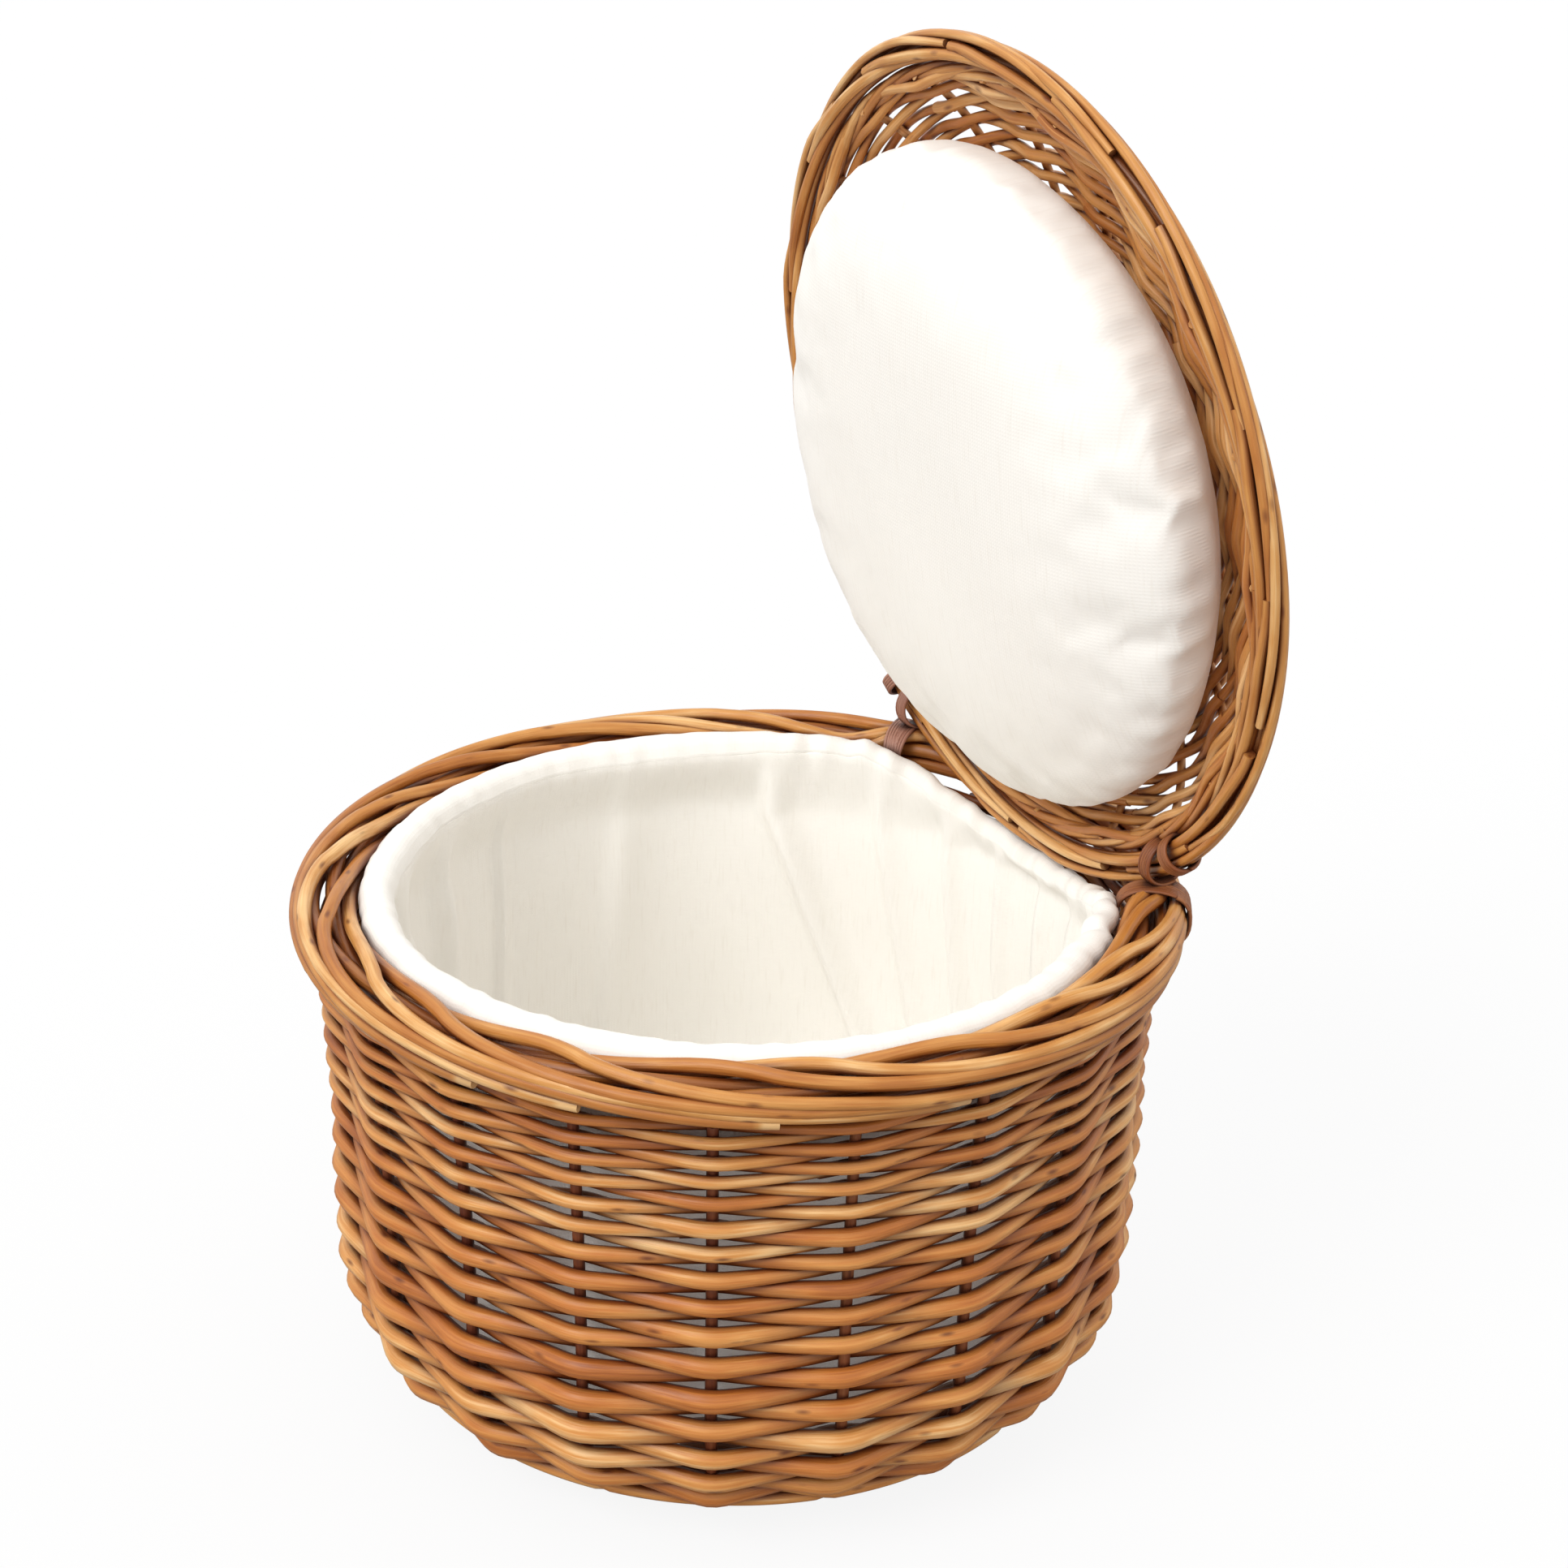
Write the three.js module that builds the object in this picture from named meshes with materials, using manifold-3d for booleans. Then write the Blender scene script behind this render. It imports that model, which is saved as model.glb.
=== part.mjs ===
// Egg basket: a round willow basket with a cloth lining and a padded, hinged willow lid.
// Millimetres, +Z up. The origin is the middle of the flat underside of the base.
// The hinge is on the +Y side and X runs along it. The lid stands open on its two ties.
import * as THREE from 'three';
import Module from 'manifold-3d';

const wasm = await Module();
wasm.setup();

// Clearances between pieces that touch on the real basket
const touchGap = 0.35;
const clothGap = 0.4;
const sweepGap = 1.0;

// Whole basket
const rimHeight = 188;
const rimRadius = 150;
const roundSteps = 40;
const roundSides = 5;
const roundStart = THREE.MathUtils.degToRad(-5.2);

// Base
const baseThickness = 7;
const baseStickCount = 5;
const baseStickRadius = 2.3;
const baseCrown = 1.2;

// Stakes and the weave on both of their faces
const stakeCount = 20;
const stakeRadius = 2.3;
const wallInset = 17.5;
const wallRadius = rimRadius - wallInset;
const wallFlare = 5.5;
const baseEdgeRadius = 0.694 * wallRadius;
const footLength = 18;
const stakeFootRadius = baseEdgeRadius - footLength;
const shoulderHeight = 0.33 * rimHeight;
const cornerBelly = 0.56;
const weaveThickness = 4.6;
const ridgePitch = 14;
const ridgeDepth = 2.2;

// Thick rounds that turn the corner between the base and the side
const waleCount = 4;
const waleRadius = 3.4;
const waleStart = 21.5;

// Rolled border
const borderWidth = 23;
const borderDepth = 19.2;
const borderStrands = 5;
const borderStrandRadius = 3.3;
const borderTwists = 4;
const borderSteps = 44;
const backRodRadius = 3.3;
const backRodDrop = 8.2;
const strandEndReach = 2.6;
const turnGap = 0.1;

// Lining
const liningThickness = 1.6;
const liningTopDrop = 4;
const liningNeckDepth = 2.2;
const neckHeight = 8;
const neckFall = 16;

// Lid
const lidInset = 4;
const lidRadius = rimRadius - lidInset;
const lidOpenAngle = THREE.MathUtils.degToRad(82);
const hingeSlant = THREE.MathUtils.degToRad(33);
const lidRimRadius = 5.3;
const lidStrands = 3;
const lidStrandRadius = 2.2;
const lidTwists = 9;
const lidSteps = 54;
const lidRise = 0.26 * lidRadius;
const domeFullness = 2.8;
const domeShoulder = 0.6;
const domeFirst = THREE.MathUtils.degToRad(8);
const domeLast = THREE.MathUtils.degToRad(88);
const domeSamples = 400;
const lidRounds = 8;
const lidPlainShare = 0.3;
const lidWeaveThickness = 5;
const lidStickCount = 5;
const lidStickRadius = 2.2;

// Lid pad
const padInset = 31;
const padRadius = lidRadius - padInset;
const padBackInset = 8;
const padDrop = 11;
const padCrown = 22;
const padFullness = 6;
const padEdgeHeight = 7;

// Ties
const tieSpread = 2.9;
const tieWidth = 5;
const tieThickness = 1.2;
const eyeWidth = 2;
const eyeSides = 12;
const wrapSpread = 9.9;
const wrapWidth = 5.2;
const wrapThickness = 1.0;

const willow = new THREE.Color(0xc58a4c);
const willowDark = new THREE.Color(0x9c6534);
const willowPale = new THREE.Color(0xd9a564);
const cotton = new THREE.Color(0xe9e4d8);
const splitWillow = new THREE.Color(0x6b4436);

const basket = new THREE.Group();

function addPiece(parent, name, geometry, color, roughness) {
  const material = new THREE.MeshStandardMaterial({ color, roughness, metalness: 0 });
  const mesh = new THREE.Mesh(geometry, material);
  mesh.name = name;
  parent.add(mesh);
  return mesh;
}

// A point at a radius, an angle from +X towards +Y, and a height
function polar(radius, angle, height) {
  return new THREE.Vector3(radius * Math.cos(angle), radius * Math.sin(angle), height);
}

function signedVolume(points, faces) {
  const cross = new THREE.Vector3();
  return faces.reduce((sum, [a, b, c]) => sum + points[a].dot(cross.crossVectors(points[b], points[c])), 0);
}

// One closed body through a row of rings with equally many points each.
// Looped rows join the last ring to the first, other rows are capped flat at both ends.
function skin(rings, looped) {
  const count = rings[0].length;
  const points = rings.flat();
  const faces = [];
  const spans = looped ? rings.length : rings.length - 1;
  for (let i = 0; i < spans; i += 1) {
    const here = i * count;
    const next = ((i + 1) % rings.length) * count;
    for (let j = 0; j < count; j += 1) {
      const k = (j + 1) % count;
      faces.push([here + j, here + k, next + k], [here + j, next + k, next + j]);
    }
  }
  if (!looped) {
    const last = (rings.length - 1) * count;
    for (let j = 1; j < count - 1; j += 1) {
      faces.push([0, j + 1, j], [last, last + j, last + j + 1]);
    }
  }
  const outward = signedVolume(points, faces) > 0;
  const index = faces.flatMap(([a, b, c]) => (outward ? [a, b, c] : [a, c, b]));
  const geometry = new THREE.BufferGeometry();
  geometry.setAttribute('position', new THREE.Float32BufferAttribute(points.flatMap((p) => p.toArray()), 3));
  geometry.setIndex(index);
  return geometry;
}

// A round rod along a row of points. The side vector keeps its section from turning.
function rod(points, radius, sides, looped, sideAt) {
  const last = points.length - 1;
  const rings = points.map((point, i) => {
    const before = points[looped ? (i + last) % points.length : Math.max(i - 1, 0)];
    const after = points[looped ? (i + 1) % points.length : Math.min(i + 1, last)];
    const along = after.clone().sub(before).normalize();
    const up = new THREE.Vector3().crossVectors(along, sideAt(point, i)).normalize();
    const side = new THREE.Vector3().crossVectors(up, along);
    return Array.from({ length: sides }, (_, j) => {
      const turn = (j + 0.5) * 2 * Math.PI / sides;
      return point.clone().addScaledVector(side, radius * Math.cos(turn))
        .addScaledVector(up, radius * Math.sin(turn));
    });
  });
  return skin(rings, looped);
}

// Angles of the corners that all turned pieces share; every second one is on a stake
const ringAngle = (j) => roundStart + j * 2 * Math.PI / roundSteps;
const onStake = (j) => j % 2 === 1;

const outwardAt = (point) => new THREE.Vector3(point.x, point.y, 0).normalize();

// A ring of corners, each at the (radius, height) point given for it
function ringOf(pointAt) {
  return Array.from({ length: roundSteps }, (_, j) => {
    const point = pointAt(j);
    return polar(point.x, ringAngle(j), point.y);
  });
}

// How far a round of weave stands back at a corner: out over every other stake, in between them
function weaveRelief(round, j) {
  return ridgeDepth * (onStake(j) ? ((j - 1) / 2 + round) % 2 : 0.5);
}

// A body turned about the vertical axis from a profile of (radius, height) points
function turned(profile, looped) {
  return skin(profile.map((point) => ringOf(() => point)), looped);
}

function toManifold(geometry) {
  return new wasm.Manifold(new wasm.Mesh({
    numProp: 3,
    vertProperties: new Float32Array(geometry.getAttribute('position').array),
    triVerts: new Uint32Array(geometry.getIndex().array),
  }));
}

function fromManifold(solid) {
  const mesh = solid.getMesh();
  const geometry = new THREE.BufferGeometry();
  geometry.setAttribute('position', new THREE.Float32BufferAttribute(mesh.vertProperties, 3));
  geometry.setIndex(Array.from(mesh.triVerts));
  return geometry;
}

// The stake's centreline as (radius, height): flat over the base, round the corner, up the side
const stakeHeight = baseThickness + touchGap + stakeRadius;
const borderFloor = rimHeight - borderDepth;
const stakeTop = borderFloor - touchGap;
const weaveTop = borderFloor - tieThickness - 2 * touchGap;
const baseEdge = new THREE.Vector2(baseEdgeRadius, stakeHeight);
const shoulder = new THREE.Vector2(wallRadius, shoulderHeight);
const wallLine = new THREE.CurvePath();
wallLine.add(new THREE.LineCurve(new THREE.Vector2(stakeFootRadius, stakeHeight), baseEdge));
wallLine.add(new THREE.CubicBezierCurve(
  baseEdge,
  new THREE.Vector2(THREE.MathUtils.lerp(baseEdgeRadius, wallRadius, 0.5), 1.72 * stakeHeight),
  new THREE.Vector2(wallRadius - 1, (1 - cornerBelly) * shoulderHeight),
  shoulder,
));
wallLine.add(new THREE.QuadraticBezierCurve(
  shoulder,
  new THREE.Vector2(wallRadius + 0.1 * wallFlare, (shoulderHeight + stakeTop) / 2),
  new THREE.Vector2(wallRadius + wallFlare, stakeTop),
));
const wallLength = wallLine.getLength();

// The point a distance along the stake and a distance out from its centreline
function wallPoint(along, out) {
  const t = Math.min(along / wallLength, 1);
  const point = wallLine.getPoint(t);
  const tangent = wallLine.getTangent(t);
  return new THREE.Vector2(point.x + out * tangent.y, point.y - out * tangent.x);
}

function alongAtHeight(height) {
  let low = footLength;
  let high = wallLength;
  for (let i = 0; i < 40; i += 1) {
    const middle = (low + high) / 2;
    if (wallPoint(middle, 0).y < height) low = middle;
    else high = middle;
  }
  return low;
}

// Thick rounds under the stakes
const waleOut = stakeRadius + touchGap + waleRadius;
const walePitch = 2 * waleRadius + touchGap;
const waleAlong = (i) => waleStart + i * walePitch;

// Where the weave runs along the stakes, and the bends that both of them share
const weaveStart = waleAlong(waleCount - 1) + waleRadius + touchGap;
const weaveEnd = alongAtHeight(weaveTop) - touchGap;
const cornerEnd = alongAtHeight(shoulderHeight);
const cornerBends = 3;
const weaveBends = Array.from({ length: cornerBends + 1 }, (_, i) =>
  THREE.MathUtils.lerp(weaveStart, cornerEnd, i / cornerBends));
weaveBends.push((cornerEnd + weaveEnd) / 2, weaveEnd);

function waleGeometry(i) {
  const middle = wallPoint(waleAlong(i), waleOut);
  const points = ringOf(() => middle);
  return rod(points, waleRadius, roundSides, true, outwardAt);
}

// Base: a flat woven disc, with its sticks crossing on top of it
const firstWale = wallPoint(waleAlong(0), waleOut);
const baseRadius = firstWale.x - waleRadius - touchGap;

function baseGeometry() {
  return turned([
    new THREE.Vector2(baseRadius - baseCrown, 0),
    new THREE.Vector2(baseRadius, baseCrown),
    new THREE.Vector2(baseRadius, baseThickness - baseCrown),
    new THREE.Vector2(baseRadius - baseCrown, baseThickness),
  ], false);
}

function baseSticksGeometry() {
  const height = baseThickness + touchGap + baseStickRadius;
  const reach = stakeFootRadius + footLength / 2;
  let cross = null;
  for (let i = 0; i < baseStickCount; i += 1) {
    const angle = roundStart + i * Math.PI / baseStickCount;
    const ends = [polar(reach, angle, height), polar(-reach, angle, height)];
    const stick = toManifold(rod(ends, baseStickRadius, 6, false, () => new THREE.Vector3(0, 0, 1)));
    cross = cross ? cross.add(stick) : stick;
  }
  return fromManifold(cross);
}

// Stakes start half a step from the base sticks, clear of them
const stakeAngle = (i) => roundStart + (i + 0.5) * 2 * Math.PI / stakeCount;

function stakeGeometry(i) {
  const angle = stakeAngle(i);
  const side = new THREE.Vector3(-Math.sin(angle), Math.cos(angle), 0);
  const stops = [0, footLength, (footLength + weaveStart) / 2, ...weaveBends, wallLength];
  const points = stops.map((along) => {
    const point = wallPoint(along, 0);
    return polar(point.x, angle, point.y);
  });
  return rod(points, stakeRadius, roundSides, false, () => side);
}

// Weave: one skin on each face of the stakes. The outer one has rounds that stand out over
// every other stake, and the inner one is plain, because the lining covers it.
const weaveInner = stakeRadius + touchGap;
const weaveOuter = weaveInner + weaveThickness;

function weaveSkin(exposed, face) {
  const hidden = weaveBends.map((along) => ringOf(() => wallPoint(along, face * weaveInner)));
  return skin([...exposed, ...hidden.reverse()], true);
}

function weaveOuterGeometry() {
  const rounds = Math.round((weaveEnd - weaveStart) / ridgePitch);
  const step = (weaveEnd - weaveStart) / rounds;
  const groove = (along) => ringOf(() => wallPoint(along, weaveOuter - ridgeDepth));
  const rings = [];
  for (let i = 0; i < rounds; i += 1) {
    rings.push(groove(weaveStart + i * step));
    rings.push(ringOf((j) => wallPoint(weaveStart + (i + 0.5) * step, weaveOuter - weaveRelief(i, j))));
  }
  rings.push(groove(weaveEnd));
  return weaveSkin(rings, 1);
}

function weaveInnerGeometry() {
  return weaveSkin(weaveBends.map((along) => ringOf(() => wallPoint(along, -weaveOuter))), -1);
}

// Hinge: the lid turns about a line through its own rim. Behind that line its rim dips
// into the mouth as it opens, so the border and the lining keep clear of that sweep.
const lidRimCentre = lidRadius - lidRimRadius;
const hingeHalfSpan = lidRimCentre * Math.sin(hingeSlant);
const hingeOffset = lidRimCentre * Math.cos(hingeSlant);
const tieSpan = hingeHalfSpan + tieSpread;
const wrapSpan = hingeHalfSpan + wrapSpread;

// The lid's rim crosses the hinge line aslant, inside a round eye on each tie
const eyeInner = lidRimRadius / Math.cos(hingeSlant) + Math.tan(hingeSlant) * eyeWidth / 2 + touchGap / 2;
const eyeOuter = eyeInner + tieThickness;
const hingeHeight = rimHeight + touchGap + eyeOuter;

function lidSweep(x) {
  const behind = Math.sqrt(Math.max(lidRimCentre ** 2 - x ** 2, 0)) - hingeOffset;
  return Math.max(behind, 0) + lidRimRadius;
}

// Border: strands twisting round one another, open where the lid's rim dips
const borderMiddle = rimRadius - borderWidth / 2;
const borderHeight = rimHeight - borderDepth / 2;
const borderOpening = Math.asin((hingeHalfSpan - strandEndReach) / borderMiddle);

function borderStrandGeometry(i) {
  const wide = borderWidth / 2 - borderStrandRadius;
  const deep = borderDepth / 2 - borderStrandRadius;
  const start = Math.PI / 2 + borderOpening;
  const arc = 2 * Math.PI - 2 * borderOpening;
  const points = Array.from({ length: borderSteps + 1 }, (_, j) => {
    const share = j / borderSteps;
    const twist = 2 * Math.PI * (i / borderStrands + share * borderTwists);
    return polar(borderMiddle + wide * Math.cos(twist), start + share * arc, borderHeight + deep * Math.sin(twist));
  });
  return rod(points, borderStrandRadius, roundSides, false, outwardAt);
}

// Two plain rods carry the border across the hinge, outside the lid's sweep
const backRodMiddle = rimRadius - backRodRadius - turnGap;
const strandSlant = borderTwists * (borderWidth / 2 - borderStrandRadius) / borderMiddle;
const backRodReach = borderOpening - (touchGap + 1.2 * strandSlant * borderStrandRadius) / borderMiddle;

function backRodGeometry(i) {
  const height = rimHeight - backRodDrop - i * (2 * backRodRadius + touchGap);
  const steps = 12;
  const points = Array.from({ length: steps + 1 }, (_, j) =>
    polar(backRodMiddle, Math.PI / 2 + backRodReach * (2 * j / steps - 1), height));
  return rod(points, backRodRadius, roundSides, false, outwardAt);
}

// Lining: a cloth bag on the floor and up the weave, its edge just inside the border.
// Over the hinge the edge drops under the lid's sweep.
const liningOut = weaveOuter + clothGap;
const neckRadius = rimRadius - borderWidth - tieThickness - 2 * touchGap - liningNeckDepth / 2;

function liningTopAt(angle) {
  const x = neckRadius * Math.cos(angle);
  const open = Math.sin(angle) > 0 && Math.abs(x) < hingeHalfSpan;
  const free = rimHeight - liningTopDrop;
  return open ? Math.min(free, hingeHeight - lidSweep(x) - sweepGap) : free;
}

function liningGeometry() {
  const low = footLength;
  const cornerOut = stakeRadius + touchGap;
  const neckStart = alongAtHeight(borderFloor - neckFall);
  const stops = [low, THREE.MathUtils.lerp(low, weaveStart, 0.4)];
  for (const share of [0, 0.12, 0.26, 0.67]) stops.push(THREE.MathUtils.lerp(weaveStart, neckStart, share));
  const side = (along, depth) => {
    const share = THREE.MathUtils.smoothstep(along, low, weaveStart);
    return wallPoint(along, -THREE.MathUtils.lerp(cornerOut, liningOut, share) - depth);
  };
  const ringAt = (point) => ringOf(() => point);
  const neckRing = (share, depth) => ringOf((j) => {
    const height = THREE.MathUtils.lerp(borderFloor - neckHeight, liningTopAt(ringAngle(j)), share);
    return new THREE.Vector2(neckRadius - depth, height);
  });
  const rings = [];
  for (const along of [...stops, neckStart]) rings.push(ringAt(side(along, 0)));
  rings.push(neckRing(0, 0), neckRing(1, 0), neckRing(1, liningThickness), neckRing(0, liningThickness));
  for (const along of [neckStart, ...stops.slice().reverse()]) rings.push(ringAt(side(along, liningThickness)));
  return skin(rings, false);
}

// Lid: everything in it is placed from the middle of its rim, dome upwards when shut
const lid = new THREE.Group();
lid.position.set(0, hingeOffset, hingeHeight);
lid.rotation.x = -lidOpenAngle;
const lidPieces = new THREE.Group();
lidPieces.position.y = -hingeOffset;
lid.add(lidPieces);

const lidStrandOffset = lidRimRadius - 2 * turnGap - lidStrandRadius;

function lidStrandGeometry(i) {
  const points = Array.from({ length: lidSteps }, (_, j) => {
    const twist = 2 * Math.PI * (i / lidStrands + j * lidTwists / lidSteps);
    const radius = lidRimCentre + lidStrandOffset * Math.cos(twist);
    return polar(radius, j * 2 * Math.PI / lidSteps, lidStrandOffset * Math.sin(twist));
  });
  return rod(points, lidStrandRadius, roundSides, true, outwardAt);
}

// Rings of the round eye on one tie, or of the room for it, along the hinge line
function eyeRings(sign, y, z, radius, halfWidth) {
  return [-halfWidth, halfWidth].map((offset) => Array.from({ length: eyeSides }, (_, j) => {
    const turn = j * 2 * Math.PI / eyeSides;
    const x = sign * hingeHalfSpan + offset;
    return new THREE.Vector3(x, y + radius * Math.cos(turn), z + radius * Math.sin(turn));
  }));
}

const domeRadius = lidRimCentre - lidRimRadius - touchGap;

// The dome's outer face, at a distance under it, for a slope parameter from 0 at the crown
function domePoint(turn, under) {
  const shape = (t) => {
    const radius = domeRadius * Math.sin(t);
    const height = lidRise * (1 - Math.abs(Math.sin(t)) ** domeFullness) ** domeShoulder;
    return new THREE.Vector2(radius, height);
  };
  const point = shape(turn);
  const aside = 0.01;
  const before = shape(turn - aside);
  const after = shape(Math.min(turn + aside, Math.PI / 2));
  const tangent = after.sub(before).normalize();
  return new THREE.Vector2(point.x + under * tangent.y, point.y - under * tangent.x);
}

function tieSleeve(span, width, inner, outer) {
  const angle = Math.asin(span / lidRimCentre);
  const sleeveAt = (sign) => {
    const turn = Math.PI / 2 - sign * angle;
    const along = new THREE.Vector3(-Math.sin(turn), Math.cos(turn), 0);
    const out = new THREE.Vector3(Math.cos(turn), Math.sin(turn), 0);
    const ring = (offset, radius) => Array.from({ length: 10 }, (_, j) => {
      const a = j * Math.PI / 5;
      return polar(lidRimCentre, turn, radius * Math.sin(a)).addScaledVector(out, radius * Math.cos(a))
        .addScaledVector(along, offset);
    });
    const half = width / 2;
    if (inner === 0) return skin([ring(-half, outer), ring(half, outer)], false);
    return skin([ring(-half, outer), ring(half, outer), ring(half, inner), ring(-half, inner)], true);
  };
  return sleeveAt;
}

// Slope parameters at equal lengths down the dome
function domeStops(count) {
  const turnAt = (i) => THREE.MathUtils.lerp(domeFirst, domeLast, i / domeSamples);
  const lengths = [0];
  for (let i = 1; i <= domeSamples; i += 1) {
    lengths.push(lengths[i - 1] + domePoint(turnAt(i), 0).distanceTo(domePoint(turnAt(i - 1), 0)));
  }
  return Array.from({ length: count + 1 }, (_, k) =>
    turnAt(lengths.findIndex((length) => length >= lengths[domeSamples] * k / count - touchGap)));
}

function lidWeaveGeometry() {
  const outer = domeStops(2 * lidRounds).map((turn, k) => ringOf((j) => {
    const wide = Math.sin(turn) > lidPlainShare;
    const back = k % 2 === 0 ? ridgeDepth : weaveRelief((k - 1) / 2, j);
    return domePoint(turn, wide ? back : 0);
  }));
  const inner = domeStops(8).map((turn) => ringOf(() => domePoint(turn, lidWeaveThickness))).reverse();
  const notch = tieSleeve(wrapSpan, wrapWidth + 2 * touchGap, 0, wrapOuter + touchGap);
  const eyeRoom = (eyeOuter + touchGap) / Math.cos(Math.PI / eyeSides);
  let shell = toManifold(skin([...outer, ...inner], false));
  for (const sign of [-1, 1]) {
    const eye = eyeRings(sign, hingeOffset, 0, eyeRoom, eyeWidth / 2 + touchGap);
    shell = shell.subtract(toManifold(notch(sign))).subtract(toManifold(skin(eye, false)));
  }
  return fromManifold(shell);
}

const wrapInner = lidRimRadius + touchGap;
const wrapOuter = wrapInner + wrapThickness;

function lidSticksGeometry() {
  const under = lidWeaveThickness + touchGap + lidStickRadius;
  const reach = Math.asin((padRadius - padBackInset) / domeRadius);
  let cross = null;
  for (let i = 0; i < lidStickCount; i += 1) {
    const angle = roundStart + (i + 0.5) * Math.PI / lidStickCount;
    const steps = 12;
    const points = Array.from({ length: steps + 1 }, (_, j) => {
      const turn = reach * (2 * j / steps - 1);
      const point = domePoint(Math.abs(turn), under);
      return polar(Math.sign(turn) * point.x, angle, point.y);
    });
    const side = new THREE.Vector3(-Math.sin(angle), Math.cos(angle), 0);
    const stick = toManifold(rod(points, lidStickRadius, 6, false, () => side));
    cross = cross ? cross.add(stick) : stick;
  }
  return fromManifold(cross);
}

// Pad: a full cushion that plugs the mouth when shut, its back following the dome
function padGeometry() {
  const under = lidWeaveThickness + 2 * lidStickRadius + 3 * touchGap;
  const face = [0.15, 0.5, 0.75, 0.88, 0.96].map((share) =>
    new THREE.Vector2(padRadius * share, -padDrop - padCrown * (1 - share ** padFullness)));
  const edge = [
    new THREE.Vector2(padRadius, -0.6 * padDrop),
    new THREE.Vector2(padRadius - 1, padEdgeHeight),
  ];
  const reach = Math.asin((padRadius - padBackInset) / domeRadius);
  const back = [1, 0.82, 0.57, 0.32, 0.14].map((share) => domePoint(share * reach, under));
  return turned([...face, ...edge, ...back], false);
}

// Ties: a loop of split willow round the border, with an eye round the lid's rim
function tieGeometry(sign) {
  const turn = Math.PI / 2 - sign * Math.asin(tieSpan / lidRimCentre);
  const along = new THREE.Vector3(-Math.sin(turn), Math.cos(turn), 0);
  const corners = (grow) => {
    const inner = rimRadius - borderWidth - touchGap - grow;
    const outer = rimRadius + touchGap + grow;
    const low = borderFloor - touchGap - grow;
    const high = rimHeight + touchGap + grow;
    return [[inner, low], [outer, low], [outer, high], [inner, high]];
  };
  const ring = (grow, offset) => corners(grow).map(([radius, height]) =>
    polar(radius, turn, height).addScaledVector(along, offset));
  const half = tieWidth / 2;
  const loop = skin([
    ring(tieThickness, -half), ring(tieThickness, half), ring(0, half), ring(0, -half),
  ], true);
  const inner = eyeInner / Math.cos(Math.PI / eyeSides);
  const [near, far] = eyeRings(sign, hingeOffset, hingeHeight, eyeOuter, eyeWidth / 2);
  const [nearHole, farHole] = eyeRings(sign, hingeOffset, hingeHeight, inner, eyeWidth / 2);
  const eye = skin([near, far, farHole, nearHole], true);
  return fromManifold(toManifold(loop).add(toManifold(eye)));
}

addPiece(basket, 'base_disc', baseGeometry(), willow, 0.62);
addPiece(basket, 'base_sticks', baseSticksGeometry(), willowDark, 0.62);
for (let i = 0; i < waleCount; i += 1) {
  addPiece(basket, `wale_${i + 1}`, waleGeometry(i), willowDark, 0.58);
}
for (let i = 0; i < stakeCount; i += 1) {
  const name = `stake_${String(i + 1).padStart(2, '0')}`;
  addPiece(basket, name, stakeGeometry(i), willowDark, 0.6);
}
addPiece(basket, 'weave_outer', weaveOuterGeometry(), willow, 0.58);
addPiece(basket, 'weave_inner', weaveInnerGeometry(), willow, 0.62);
for (let i = 0; i < borderStrands; i += 1) {
  addPiece(basket, `border_rod_${i + 1}`, borderStrandGeometry(i), willowPale, 0.5);
}
for (let i = 0; i < 2; i += 1) {
  addPiece(basket, `hinge_rod_${i + 1}`, backRodGeometry(i), willowPale, 0.5);
}
addPiece(basket, 'lining', liningGeometry(), cotton, 0.95);
addPiece(basket, 'tie_left', tieGeometry(-1), splitWillow, 0.7);
addPiece(basket, 'tie_right', tieGeometry(1), splitWillow, 0.7);

basket.add(lid);
for (let i = 0; i < lidStrands; i += 1) {
  addPiece(lidPieces, `lid_rod_${i + 1}`, lidStrandGeometry(i), willowPale, 0.5);
}
addPiece(lidPieces, 'lid_weave', lidWeaveGeometry(), willow, 0.58);
addPiece(lidPieces, 'lid_sticks', lidSticksGeometry(), willowDark, 0.62);
addPiece(lidPieces, 'lid_pad', padGeometry(), cotton, 0.95);
const wrapAt = tieSleeve(wrapSpan, wrapWidth, wrapInner, wrapOuter);
addPiece(lidPieces, 'lid_wrap_left', wrapAt(-1), splitWillow, 0.7);
addPiece(lidPieces, 'lid_wrap_right', wrapAt(1), splitWillow, 0.7);

export default basket;
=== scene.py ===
import math
import random
from functools import partial

import bpy
import numpy as np
from mathutils import Matrix, Vector


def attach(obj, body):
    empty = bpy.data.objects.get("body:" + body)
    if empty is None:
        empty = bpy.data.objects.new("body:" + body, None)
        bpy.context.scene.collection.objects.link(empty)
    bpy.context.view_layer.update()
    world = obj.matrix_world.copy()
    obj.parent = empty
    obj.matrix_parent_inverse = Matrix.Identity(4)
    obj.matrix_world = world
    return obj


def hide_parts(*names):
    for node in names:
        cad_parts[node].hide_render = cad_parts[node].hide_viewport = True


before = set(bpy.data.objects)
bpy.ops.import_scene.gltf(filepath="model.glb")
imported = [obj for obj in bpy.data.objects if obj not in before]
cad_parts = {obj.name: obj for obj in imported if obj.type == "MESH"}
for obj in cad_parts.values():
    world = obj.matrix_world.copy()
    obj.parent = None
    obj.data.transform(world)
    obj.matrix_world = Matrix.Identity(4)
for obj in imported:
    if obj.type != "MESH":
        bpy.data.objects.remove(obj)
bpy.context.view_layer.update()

scene = bpy.context.scene
mm = 0.001
fullTurn = 2 * math.pi


# small helpers

def selectOnly(obj):
    bpy.ops.object.select_all(action="DESELECT")
    obj.select_set(True)
    bpy.context.view_layer.objects.active = obj


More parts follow.
